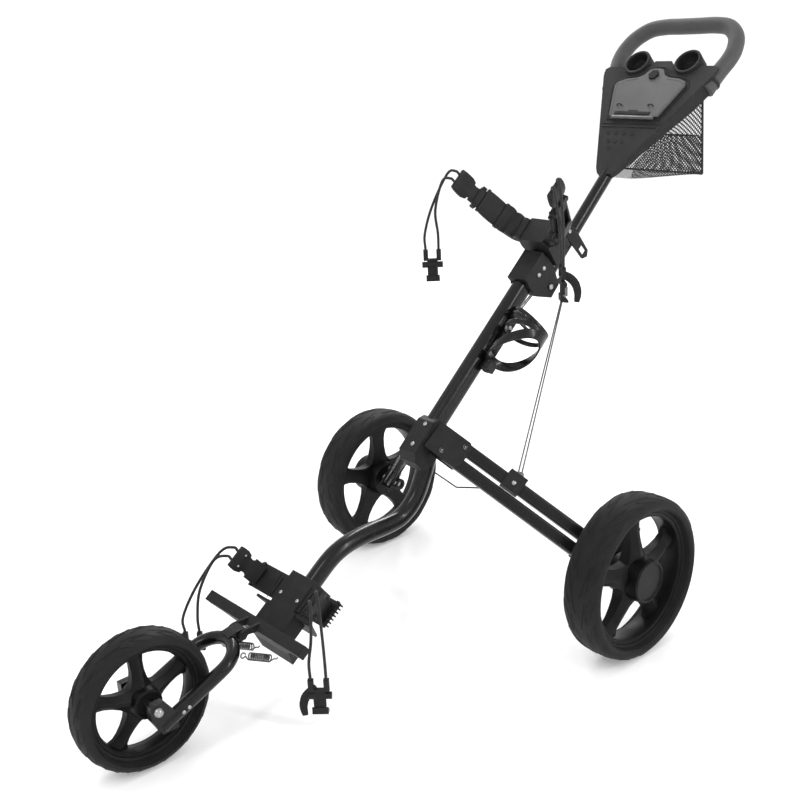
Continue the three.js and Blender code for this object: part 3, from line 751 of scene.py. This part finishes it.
def rim_piece(name, size, place, body, node, capped):
    """Barrel, five ridged spokes and a hub drum."""
    half, rim, hub, ridge, cap = size["width"] / 2, size["rim"], size["hub"], size["ridge"], size["cap"]
    flange = half - 15.5
    bm = bmesh.new()
    turned(bm, [
        (rim, flange), (rim + 0.1, -flange), (rim - 5, -flange), (rim - 7, 3.5 - flange), (rim - 9, 0),
        (rim - 7, flange - 3.5), (rim - 5, flange),
    ], WHEEL_STEPS)
    for i in range(SPOKES):
        before = set(bm.verts)
        loft(bm, spoke_sections(size))
        fresh = [v for v in bm.verts if v not in before]
        turn = Matrix.Rotation(2 * pi * (i + 0.25) / SPOKES, 3, "Z")
        bmesh.ops.rotate(bm, verts=fresh, cent=(0, 0, 0), matrix=turn)
    top = half + 2 if capped else half - 6
    turned(bm, [
        (0, top - 2.4), (cap - 6, top - 2.4), (cap - 5, top), (cap - 1.2, top), (cap, top - 1.2),
        (cap + 0.6, top - 7), (cap + 1.5, ridge - 2), (hub + 3, 0), (hub + 1, 12 - half), (hub - 2, 8 - half),
        (0, 8 - half),
    ], 48)
    piece(f"{name}_rim_moulding", bm, body, "wheel_rim", place, bevel=1.4, replaces=[node])
    rings = [ring(rim - 6.2, half - 17.2), ring(rim - 6.2, 17.2 - half), ring(cap - 3, top)]
    line_piece(f"{name}_rim_beads", rings, 0.9, body, "wheel_rim", place, sides=2, closed=True)


def wheels():
    for side, outward in (("left", 1), ("right", -1)):
        place = wheel_place((outward * 335, 0, REAR["radius"]), outward)
        tyre_piece(f"rear_{side}", REAR, place, f"rear_wheel_{side}", f"rear_{side}_tyre")
        rim_piece(f"rear_{side}", REAR, place, f"rear_wheel_{side}", f"rear_{side}_rim", True)
    place = wheel_place((0, -768, FRONT["radius"]), 1)
    tyre_piece("front", FRONT, place, "front_wheel", "front_tyre")
    rim_piece("front", FRONT, place, "front_wheel", "front_rim", False)


wheels()

# ---------------- tubes
FRONT_TUBE_ROUTE = [        # y and z, in the middle plane
    (-480, 143), (-440, 173), (-400, 203), (-372, 217), (-340, 224), (-300, 226), (-262, 226),
    (-231, 230), (-205, 245), (-186, 266), (-171, 294), (-158, 322), (-150, 345),
]
FORK_R = 45
FORK_BACK = Vector((0, -607, 144))
FORK_TILT = radians(22.3)
FORK_FORWARD = Vector((0, -cos(FORK_TILT), -sin(FORK_TILT)))


def tubes():
    bent = catmull([(0, y, z) for y, z in FRONT_TUBE_ROUTE], 6)
    line_piece("front_tube_bent", [bent], 16, "frame", "powder_coat", sides=10, replaces=["front_tube"])
    bm = bmesh.new()
    plate(bm, rounded_rectangle(30, 38, 13), -322, 152)
    upright = SPINE @ Matrix.Rotation(radians(90), 4, "X")
    piece("main_tube_drawn", bm, "frame", "powder_coat", upright, smooth=30, replaces=["main_tube"])
    for level, offset, body in (("lower", 0, "lower_leg"), ("upper", LEG_OFFSET, "leg")):
        along_leg = LEG @ Matrix.Translation((0, offset, 0)) @ Matrix.Rotation(radians(90), 4, "Y")
        for side in ("left", "right"):
            bm = bmesh.new()
            plate(bm, rounded_rectangle(*LEG_BAR, segments=5), offset - 6, offset + LEG_LENGTH + 6)
            piece(f"leg_{level}_bar_{side}", bm, f"{body}_{side}", "powder_coat", along_leg, side == "right",
                  bevel=0.8, replaces=[f"leg_{level}_tube_{side}"])


def fork():
    def on_arm(x, along):
        return (FORK_BACK + FORK_FORWARD * along + Vector((x, 0, 0)))[:]

    bend = [on_arm(FORK_R * sin(radians(a)), FORK_R * (1 - cos(radians(a)))) for a in range(-90, 91, 15)]
    arms = (70, 110, 166)
    route = [*[on_arm(-FORK_R, s) for s in reversed(arms)], *bend, *[on_arm(FORK_R, s) for s in arms]]
    line_piece("fork_tube", [catmull(route, 3)], 11, "fork", "powder_coat", sides=8)
    rounded_copy("front_fork", 1.2, "powder_coat", "fork_ends")


tubes()
fork()

# ---------------- moulded parts from the CAD shapes
MOULDINGS = {
    "centre_bracket": 1.6, "fold_bracket": 1.6, "upper_cradle": 2.0, "lower_cradle": 1.8, "bag_shelf": 2.0,
    "handle_latch": 1.0, "leg_clamp_left": 1.2, "leg_clamp_right": 1.2,
    "wheel_carrier_left": 1.2, "wheel_carrier_right": 1.2, "brake_pedal_left": 1.2, "brake_pedal_right": 1.2,
}
for node, width in MOULDINGS.items():
    rounded_copy(node, width, "moulded_nylon")
rounded_copy("console_tray", 1.2, "console_abs")
rounded_copy("scorecard_lid", 0.8, "smoke_lid")
rounded_copy("lid_latch", 0.8, "wheel_rim")
for node in ("front_axle", "rear_axle_left", "rear_axle_right"):
    for shown in frame["nodes"][node].material_slots:
        shown.material = MATERIALS["zinc_steel"]

# ---------------- bag cradles
ARM_LINE = catmull([(30, 280, 36), (50, 280, 40), (66, 280, 55), (78, 280, 74), (88, 280, 95), (97, 280, 116),
                    (105, 280, 133), (113, 280, 154), (118.5, 280, 178)], 8)
BUCKLE_LINE = catmull([(90, -28, 25), (97, -28, 42), (105, -28, 62), (112, -28, 80)], 12)
ACROSS = (0, 1, 0)


def carried(bm, line, start, end, *shapes):
    """A run of sections on part of a line. The shapes are spread evenly over it."""
    steps = len(shapes) - 1
    swept(bm, stretch(line, start, end, steps), shapes, ACROSS)


def aside(shape, shift):
    """A section moved across the line that carries it."""
    return [(a + shift, b) for a, b in shape]


def lobe(bm, line, start, end, wide, deep, lift):
    """A pad segment whose ends are rounded down."""
    shapes = [slab(wide * w, deep * d, 1.5, lift - deep * (1 - d) / 2)
              for w, d in ((0.97, 0.7), (0.99, 0.92), (1, 1), (1, 1), (0.99, 0.92), (0.97, 0.7))]
    carried(bm, line, start, end, *shapes)


def upper_arm(side):
    """A boxed base with two window openings and a slot shown as thin dark patches of painted shade, a ribbed
    pad, a broad strap plate, an adjuster and a buckle.
    """
    flip = side == "right"
    base = bmesh.new()
    carried(base, ARM_LINE, 0, 0.36, *[slab(w, 4, 1, 5) for w in (40, 42, 44, 45, 46)])
    carried(base, ARM_LINE, 0.02, 0.4, *[slab(w, 3.4, 1, -9) for w in (40, 38, 36, 32, 28)])
    for start in (0.02, 0.15, 0.28):
        carried(base, ARM_LINE, start, start + 0.05, slab(36, 15, 1, -2), slab(36, 15, 1, -2))
    wall = [(a * 0.09 + 14, b) for a, b in slab(38, 16, 1, -2)]
    carried(base, ARM_LINE, 0.03, 0.34, *[wall] * 5)
    for x in (-1, 1):
        ribs = [aside(slab(5, d, 1, -d / 2 + 2), x * 12) for d in (13, 11, 10, 9, 8)]
        carried(base, ARM_LINE, 0.36, 0.66, *ribs)
    carried(base, ARM_LINE, 0.02, 0.36, *[aside(slab(3, d, 1, -2), -18) for d in (16, 16, 15, 13, 10)])
    # Painted shade: thin near-black patches on the outer side wall stand in for the shaded insides of two
    # window openings and a slot.
    painted_window_shade = bmesh.new()
    for start, end, deep, lift in ((0.05, 0.14, 8, 0), (0.17, 0.26, 8, 0), (0.07, 0.16, 1.6, -7)):
        carried(painted_window_shade, ARM_LINE, start, end, *[aside(slab(1.2, deep, 0.4, lift), -19.7)] * 3)
    piece(f"upper_arm_windows_{side}", painted_window_shade, "frame", "elastic_cord", SPINE, flip)
    piece(f"upper_arm_base_{side}", base, "frame", "moulded_nylon", SPINE, flip, bevel=0.8,
          replaces=[f"upper_arm_{side}"])
    pad = bmesh.new()
    for start, wide in ((0.0, 44), (0.125, 50), (0.25, 54)):
        lobe(pad, ARM_LINE, start, start + 0.125, wide, 9, 10)
    carried(pad, ARM_LINE, 0.35, 0.385, slab(54, 11, 2, 8), slab(54, 12, 2, 8.5), slab(54, 11, 2, 8))
    carried(pad, ARM_LINE, 0.385, 0.64, *[slab(w, 6, 1.5, 7) for w in (50, 51, 51, 50, 48)])
    carried(pad, ARM_LINE, 0.61, 0.64, slab(50, 9, 1.5, 7.5), slab(50, 9, 1.5, 7.5))
    piece(f"upper_arm_pad_{side}", pad, "frame", "moulded_nylon", SPINE, flip, bevel=0.8)
    strap = bmesh.new()
    carried(strap, ARM_LINE, 0.64, 0.74, slab(36, 9, 1.5, 5), slab(36, 10, 1.5, 5), slab(34, 8, 1.5, 5))
    carried(strap, ARM_LINE, 0.6, 0.78, *[slab(30, 6, 1.5, -3)] * 4)
    for x in (-1, 1):
        carried(strap, ARM_LINE, 0.66, 0.72, *[aside(slab(6, 15, 2, 3), x * 20)] * 3)
    carried(strap, ARM_LINE, 0.72, 0.84, slab(30, 6, 1.5, 3), slab(27, 6, 1.5, 3), slab(30, 6, 1.5, 2.5))
    carried(strap, ARM_LINE, 0.82, 1.0, slab(38, 7, 2, 2), slab(45, 9, 2.5, 1.5), slab(45, 10, 2.5, 1),
            slab(44, 10, 2.5, 0.5), slab(42, 7, 2.5, 0.5))
    piece(f"upper_buckle_moulding_{side}", strap, "frame", "moulded_nylon", SPINE, flip, bevel=0.8,
          replaces=[f"upper_buckle_{side}"])


def lower_buckle(side):
    """A plate on the arm's end, a notched neck and an end bar that the two cords leave."""
    bm = bmesh.new()
    carried(bm, BUCKLE_LINE, 0, 0.42, *[slab(w, 7, 1.5) for w in (34, 38, 38, 38)])
    carried(bm, BUCKLE_LINE, 0.38, 0.62, *[slab(w, 6, 1.5) for w in (34, 27, 27, 32)])
    carried(bm, BUCKLE_LINE, 0.58, 1.0, slab(36, 6, 1.5), slab(42, 9, 2), slab(42, 9, 2), slab(40, 7, 2))
    flip = side == "right"
    piece(f"lower_buckle_moulding_{side}", bm, "frame", "moulded_nylon", TOE, flip, bevel=0.8,
          replaces=[f"lower_buckle_{side}"])
    fins = bmesh.new()
    for i in range(7):
        u = -46 + 6.5 * i
        box(fins, 103, 108.5, u, u + 2.6, 15.5, 24)
    box(fins, 98, 104.5, -51, -2, 22, 25)
    piece(f"lower_arm_fins_{side}", fins, "frame", "moulded_nylon", TOE, flip, bevel=0.5)


def mirrored_spots(place, point, direction):
    """A spot and its twin across the middle plane."""
    x, y, z = point
    dx, dy, dz = direction
    return [(place, point, direction), (place, (-x, y, z), (-dx, dy, dz))]


def cradle_details():
    rivet_heads("lower_cradle_rivets", "frame", mirrored_spots(TOE, (23, -35, 26), (0, 0, 1)), 3.6, 1.6)
    at_arms = mirrored_spots(SPINE, (31.5, 280, 36), (1, 0, 0.15))
    rivet_heads("upper_cradle_rivets", "frame", at_arms, 3.4, 1.6)
    eyelets = []
    for u in (-39, -17):
        eyelets += mirrored_spots(TOE, (102.3, u, 67.6), (-0.93, 0, 0.36))
    rivet_heads("lower_buckle_eyelets", "frame", eyelets, 1.8, 0.5)
    under = bmesh.new()
    ends = ((56, -108, 11), (44, -120, -32))       # half width, front edge and height, above and below
    loft(under, [[(w, -95, m), (-w, -95, m), (-w, u, m), (w, u, m)] for w, u, m in ends])
    piece("shelf_under_block", under, "frame", "moulded_nylon", TOE, bevel=1.0)
    bends = [[(s * 46, -54, 23.3), (s * 52, -5, 23.3)] for s in (-1, 1)]
    line_piece("lower_arm_bend_lines", bends, 0.6, "frame", "moulded_nylon", TOE, sides=2)
    shelf_rib = [[(s * 62, -94.2, 12), (s * 62, -94.2, 56)] for s in (-1, 1)]
    line_piece("shelf_step_lines", shelf_rib, 0.8, "frame", "moulded_nylon", TOE, sides=2)


for side in ("left", "right"):
    upper_arm(side)
    lower_buckle(side)
cradle_details()

# ---------------- bottle cage
CAGE_SIDE = 15.3            # the main tube's left face, with clearance
CAGE_RADIUS = 38


def cage_loop(low, high, power):
    """A ring that starts at the back strip and rises as it goes out round the bottle."""
    loop = []
    for i in range(48):
        angle = 2 * pi * i / 48
        rise = ((1 - cos(angle)) / 2) ** power
        loop.append((CAGE_SIDE + 46 - CAGE_RADIUS * cos(angle), low + (high - low) * rise,
                     CAGE_RADIUS * sin(angle) - 10))
    return loop


def bottle_cage():
    bm = bmesh.new()
    for low, high, power, wide in ((128, 104, 1, 7), (118, 98, 1, 6), (86, 98, 1, 9), (24, 90, 1.4, 18)):
        loop = cage_loop(low, high, power)
        swept(bm, loop, [slab(wide, 3.4, 1.2)] * len(loop), ACROSS, closed=True)
    box(bm, CAGE_SIDE, CAGE_SIDE + 7, 0, 138, -18, -2)
    box(bm, CAGE_SIDE, CAGE_SIDE + 12, 112, 136, -20, 2)
    box(bm, CAGE_SIDE + 2, CAGE_SIDE + 22, 0, 14, -20, 0)
    piece("bottle_cage_moulding", bm, "frame", "powder_coat", SPINE, bevel=0.8, replaces=["bottle_cage"])
    bolts = [(SPINE, (CAGE_SIDE + 7, s, -10), (1, 0, 0)) for s in (22, 96)]
    rivet_heads("bottle_cage_bolts", "frame", bolts, 4.4, 2.4)


bottle_cage()

# ---------------- handle
HANDLE_PIVOT = Vector((0, 152, 583))
HANDLE_TILT = radians(43)
HANDLE_UP = Vector((0, cos(HANDLE_TILT), sin(HANDLE_TILT)))
HANDLE_RADIUS = 12.5
LOOP_DEPTH = -20.8
LOOP_HALF = [(-116, 214), (-119, 236), (-124, 262), (-131, 290), (-131, 316), (-120, 346), (-94, 370),
             (-60, 377), (-20, 377)]
HOLDERS = ((60, 266), (-60, 266))
LID_HALF = [(58, 132), (84, 206), (80, 216), (62, 223), (36, 226), (24, 233), (16, 245), (8, 248)]


def both_halves(half):
    """Half an outline or a route, joined to its mirror image."""
    return half + [(-x, along) for x, along in reversed(half)]


def outset(outline, distance):
    """An outline moved outwards."""
    moved = []
    for before, point, after in zip(outline[-1:] + outline[:-1], outline, outline[1:] + outline[:1]):
        a = (Vector(point) - Vector(before)).normalized()
        b = (Vector(after) - Vector(point)).normalized()
        normal = (Vector((a.y, -a.x)) + Vector((b.y, -b.x))).normalized()
        stretch_by = distance / max(0.4, normal.dot(Vector((a.y, -a.x))))
        moved.append(Vector(point) + normal * stretch_by)
    return [(p.x, p.y) for p in moved]


def handle():
    end = HANDLE_PIVOT + HANDLE_UP * 402
    low = HANDLE_PIVOT + HANDLE_UP * 4
    eye = Vector((12.4, 0, 0))
    runs = [[HANDLE_PIVOT - eye, HANDLE_PIVOT + eye], [low, end]]
    line_piece("handle_tube_drawn", runs, HANDLE_RADIUS, "handle", "powder_coat", sides=10,
               replaces=["handle_tube"])
    loop = catmull([(x, along, LOOP_DEPTH) for x, along in both_halves(LOOP_HALF)], 6)
    line_piece("grip_foam_sleeve", [loop], 16, "handle", "foam_grip", CONSOLE, sides=10,
               replaces=["grip_loop"])
    bm = bmesh.new()
    cuff = [(15, -3), (17.6, -3), (18.2, 0), (17.6, 3), (15, 3)]
    for s in (-1, 1):
        turned(bm, cuff, 40, aimed(Matrix.Identity(4), (s * 118.5, 234, LOOP_DEPTH), (s * 4, 24, 0)))
    piece("grip_end_rings", bm, "handle", "console_abs", CONSOLE, smooth=60)


def console_details():
    lid = both_halves(LID_HALF)
    border = [(x, along, 0.2) for x, along in outset(lid, 6.5)]
    line_piece("console_raised_border", [border], 1.1, "handle", "console_abs", CONSOLE, sides=3, closed=True)
    steps = [[(s * (14 + 0.468 * along), along, 0.1) for s in (-1, 1)] for along in (108, 116)]
    line_piece("console_step_lines", steps, 1.2, "handle", "console_abs", CONSOLE, sides=3)
    arch = [(cos(radians(a)), sin(radians(a))) for a in range(0, 181, 20)]
    loops = [[(x + 6 * c, 156, 4.6 + 6 * h) for c, h in arch] for x in (-44, 31)]
    line_piece("lid_pencil_loops", loops, 1.2, "lid", "console_abs", CONSOLE, sides=3)
    low_edge = [p for p in outset(lid, -4) if p[1] < 230]
    turn_at = len(low_edge) // 2
    edges = [[(x, along, 5) for x, along in side] for side in (low_edge[:turn_at], low_edge[turn_at:])]
    line_piece("lid_raised_edge", edges, 0.7, "lid", "smoke_lid", CONSOLE, sides=2)
    tees = [(-41 + 19.3 * i, 93) for i in range(4)] + [(-30 + 16.5 * i, 73) for i in range(3)] + [(-20, 56)]
    spots = [(CONSOLE, (x, along, 0), (0, 0, 1)) for x, along in tees]
    hole_mouths("tee_hole", "handle", "console_abs", spots, 3.0)
    hinge = bmesh.new()
    box(hinge, -46, 38, 134, 141, 4.9, 7)
    box(hinge, -16, 6, 140, 145, 4.9, 6.4)
    piece("lid_hinge_strip", hinge, "lid", "console_abs", CONSOLE, bevel=0.6)
    lips = bmesh.new()
    cup = [(0, -17), (19, -17), (21.5, -14), (22.7, -6), (22.7, 4.2), (24.4, 5.4), (27, 5.4), (28.4, 4.2),
           (28.4, -2), (23.4, -6), (22.2, -15), (19, -18.2), (0, -18.2)]
    for x, along in HOLDERS:
        turned(lips, cup, 56, Matrix.Translation((x, along, 0)))
    piece("ball_holder_lips", lips, "handle", "console_abs", CONSOLE, smooth=50)


NET_RIM = [(30, 52, -33), (106, 208, -33)]
NET_FLOOR = [(30, 384, 757), (112, 506, 757)]


def net_panel(bm, uv_layer, corners, bow, steps=10):
    """A four-cornered sheet that bows along its own normal, with its threads at their real size."""
    a, b, c, d = corners
    normal = (b - a).cross(d - a).normalized()
    wide, high = ((b - a).length + (c - d).length) / 2, ((d - a).length + (c - b).length) / 2
    rows = []
    for j in range(steps + 1):
        v = j / steps
        rows.append([])
        for i in range(steps + 1):
            u = i / steps
            flat = a.lerp(b, u).lerp(d.lerp(c, u), v)
            rows[-1].append(bm.verts.new(flat + normal * bow * sin(pi * u) * sin(pi * v)))
    for j in range(steps):
        for i in range(steps):
            face = bm.faces.new((rows[j][i], rows[j][i + 1], rows[j + 1][i + 1], rows[j + 1][i]))
            for loop, (u, v) in zip(face.loops, ((i, j), (i + 1, j), (i + 1, j + 1), (i, j + 1))):
                loop[uv_layer].uv = (wide * u / steps, high * v / steps)


def storage_net():
    """A net bag under the console: two sides, a floor and a low rear panel with a hem."""
    rim = {(s, i): at(CONSOLE, s * x, y, z) for s in (-1, 1) for i, (x, y, z) in enumerate(NET_RIM)}
    floor = {(s, i): at(GROUND, s * x, y, z) for s in (-1, 1) for i, (x, y, z) in enumerate(NET_FLOOR)}
    back = {s: floor[s, 1].lerp(rim[s, 1], 0.5) for s in (-1, 1)}
    bow = 7 * MM
    bm = bmesh.new()
    uv_layer = bm.loops.layers.uv.new("net")
    for s in (1, -1):
        net_panel(bm, uv_layer, (floor[s, 0], floor[s, 1], rim[s, 1], rim[s, 0]), -s * bow)
    net_panel(bm, uv_layer, (floor[-1, 0], floor[1, 0], floor[1, 1], floor[-1, 1]), -bow)
    net_panel(bm, uv_layer, (floor[-1, 1], floor[1, 1], back[1], back[-1]), -bow)
    bmesh.ops.remove_doubles(bm, verts=bm.verts, dist=0.05 * MM)
    mesh = as_mesh("storage_net_mesh", bm)
    net = set_up(bpy.data.objects.new("storage_net_mesh", mesh), "handle", "net")
    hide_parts("storage_net")
    over = [back[1].lerp(back[-1], i / 8) for i in range(9)]
    hem_bm = bmesh.new()
    for line, radius, across in (
        ([rim[1, 1], *over, rim[-1, 1]], 2.2, (0, 0.5, -1)),
        ([floor[1, 1], rim[1, 1]], 2.4, (1, 0, 0)),
        ([floor[-1, 1], rim[-1, 1]], 2.4, (1, 0, 0)),
        ([floor[1, 1], floor[-1, 1]], 2.2, (0, 0, 1)),
    ):
        swept(hem_bm, line, [round_section(radius * MM, 8)] * len(line), across)
    hem = piece("storage_net_hem", hem_bm, "handle", "elastic_cord", Matrix.Identity(4))
    for part in (net, hem):
        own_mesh(part)


handle()
console_details()
storage_net()

# ---------------- rods, springs and cables
ROD_HEAD = Vector((33, 180, 569))


def on_side(side, point):
    """A point drawn for the left side, in the row frame, on the side that is named."""
    x, y, z = point
    return at(GROUND, -x if side == "right" else x, y, z)


def stay_rod(side):
    """Two wires that run together from a washer on the leg up to a block at the handle."""
    foot = GROUND.inverted() @ at(LEG, 136, LEG_OFFSET + 22, 0)
    ahead = (ROD_HEAD - foot).normalized()
    side_way = ahead.cross(Vector((0, 1, 0))).normalized()
    bm = bmesh.new()
    for apart in (-1, 1):
        low, high = foot + side_way * 5 * apart, ROD_HEAD + side_way * 1.6 * apart
        wire(bm, [low, low.lerp(high, 0.5), high], 1.5, 8)
    x, y, z = ROD_HEAD
    box(bm, x - 3, x + 3, y - 8, y + 8, z - 9, z + 9)
    turned(bm, [(0, 3), (7, 3), (8, 1), (8, -3), (0, -3)], 20, aimed(Matrix.Identity(4), foot, ahead))
    piece(f"stay_rod_pair_{side}", bm, f"stay_{side}", "dark_zinc", GROUND, side == "right",
          replaces=[f"stay_rod_{side}"])


def brake_cable(side):
    """A sleeved cable from under the centre bracket to the leg."""
    start = GROUND.inverted() @ at(LEG, 122, LEG_OFFSET - 18, -16)
    under = (start.x / 2, start.y + 1, start.z - 14)
    route = catmull([(0.5, start.y + 4, start.z - 30), under, start], 10)
    bm = bmesh.new()
    wire(bm, route, 1.5)
    cable = piece(f"brake_cable_sleeve_{side}", bm, "frame", "elastic_cord", GROUND, side == "right",
                  replaces=[f"brake_cable_{side}"])
    cable.parent = None
    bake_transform(cable, "frame", f"leg_{side}", start=on_side(side, route[0]), end=on_side(side, route[-1]))


SPRING_TURNS = 10
SPRING_STEPS = 14           # in one turn of the coil
SPRING_RADIUS = 5.8
SPRING_RING = 4.5           # radius of the ring hook


def fork_spring(side):
    """A coil spring. Its front ring goes with the fork, and its rear hook stays with the frame."""
    front, rear = Vector((26, -598, 122)), Vector((26, -536, 88))
    ahead = (rear - front).normalized()
    across = Vector((1, 0, 0))
    up = ahead.cross(across).normalized()
    line = [front + (up * cos(radians(a)) + ahead * sin(radians(a))) * SPRING_RING
            for a in range(-240, 91, 30)]
    last = SPRING_TURNS * SPRING_STEPS
    for i in range(last + 1):
        angle = 2 * pi * i / SPRING_STEPS
        centre = front.lerp(rear, 0.18 + 0.64 * i / last)
        line.append(centre + (up * cos(angle) + across * sin(angle)) * SPRING_RADIUS)
    line += [front.lerp(rear, 0.87) + up * 3, front.lerp(rear, 0.93), rear, rear - up * 3 + ahead * 2]
    bm = bmesh.new()
    wire(bm, line, 1.25, 6)
    spring = piece(f"fork_coil_spring_{side}", bm, "frame", "dark_zinc", GROUND, side == "right",
                   replaces=[f"fork_spring_{side}"])
    spring.parent = None
    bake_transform(spring, "frame", "fork", start=on_side(side, rear), end=on_side(side, front))


for side in ("left", "right"):
    stay_rod(side)
    brake_cable(side)
for side in ("left", "right"):
    fork_spring(side)

# ---------------- rivets, bolts and nuts


def fasteners():
    on_centre = [(SPINE, (3, s, 24), (0, 0, 1)) for s in (-147, -190)]
    rivet_heads("centre_bracket_rivets", "frame", on_centre, 4.2, 2.0)
    rivet_heads("fold_bracket_rivets", "frame", [
        *mirrored_spots(SPINE, (22.5, 230, -1.5), (1, 0, 0)),
        *mirrored_spots(SPINE, (22.5, 212.5, 0), (1, 0, 0)),
    ], 4.6, 2.4)
    rivet_heads("fold_pivot_heads", "frame", mirrored_spots(SPINE, (25.3, 217, -41), (1, 0, 0)), 5.4, 2.4)
    rivet_heads("handle_latch_rivet", "latch", [(SPINE, (21, 325, -9), (1, 0, 0))], 4.2, 2.0)
    for side, sign in (("left", 1), ("right", -1)):
        flipped = Matrix.Scale(sign, 4, (1, 0, 0)) @ LEG
        ends = {"frame": [(0, 0), (LEG_OFFSET, LEG_OFFSET)],
                f"carrier_{side}": [(LEG_LENGTH, 0), (LEG_LENGTH + LEG_OFFSET, LEG_OFFSET)],
                f"leg_{side}": [(136, LEG_OFFSET)]}
        for body, spots in ends.items():
            high = 13 if body.startswith("leg") else 13.1
            rivet_heads(f"leg_pins_{body}_{side}", body,
                        [(flipped, (x, y, w * high), (0, 0, w)) for x, y in spots for w in (1, -1)], 4.6, 2.6)
    rivet_heads("front_axle_nuts", "fork", mirrored_spots(GROUND, (51.5, -768, 112), (1, 0, 0)), 8.5, 8.6)
    spots = []
    for along in (120, 131):
        spots += mirrored_spots(GROUND, (55.4, *(FORK_BACK + FORK_FORWARD * along)[1:]), (1, 0, 0))
    rivet_heads("fork_rivets", "fork", spots, 3.4, 1.8)


fasteners()


# ---------------- floor and light
LIT_POINT = (0, 0, 0.4)


def lathe_stage():
    """A round floor that turns up into a wall all the way round."""
    bm = bmesh.new()
    corner = [(9 + 3 * sin(radians(a)), 3 - 3 * cos(radians(a))) for a in range(0, 91, 10)]
    turned(bm, [(0, 0), (3, 0), *corner, (12, 7)], 64)
    bmesh.ops.remove_doubles(bm, verts=bm.verts, dist=MM)
    mesh = as_mesh("paper_sweep", bm)
    mesh.shade_smooth()
    return mesh


def floor_and_light():
    mesh = lathe_stage()
    floor = bpy.data.objects.new("paper_sweep", mesh)
    bpy.context.scene.collection.objects.link(floor)
    mesh.materials.append(new_material(
        "matt_white_paper", Base_Color=linear("#f2f2f2"), Roughness=0.95, Specular_IOR_Level=0.1,
        Emission_Color=(1, 1, 1, 1), Emission_Strength=0.16))
    world = bpy.data.worlds.new("studio")
    bpy.context.scene.world = world
    world.use_nodes = True
    background = world.node_tree.nodes["Background"]
    background.inputs["Color"].default_value = (1, 1, 1, 1)
    background.inputs["Strength"].default_value = 0.96
    for name, place, size, power in (
        ("key_softbox", (0.6, -2.4, 3.2), (0.5, 1.6), 28),
        ("back_softbox", (-1.8, 1.6, 2.6), (0.2, 2.6), 48),
        ("side_softbox", (2.8, 0.8, 2.0), (0.16, 2.2), 34),
    ):
        data = bpy.data.lights.new(name, "AREA")
        data.shape = "RECTANGLE"
        data.size, data.size_y = size
        data.energy = power
        aim_from(place, data, LIT_POINT)
    bpy.context.scene.view_settings.view_transform = "Standard"


floor_and_light()
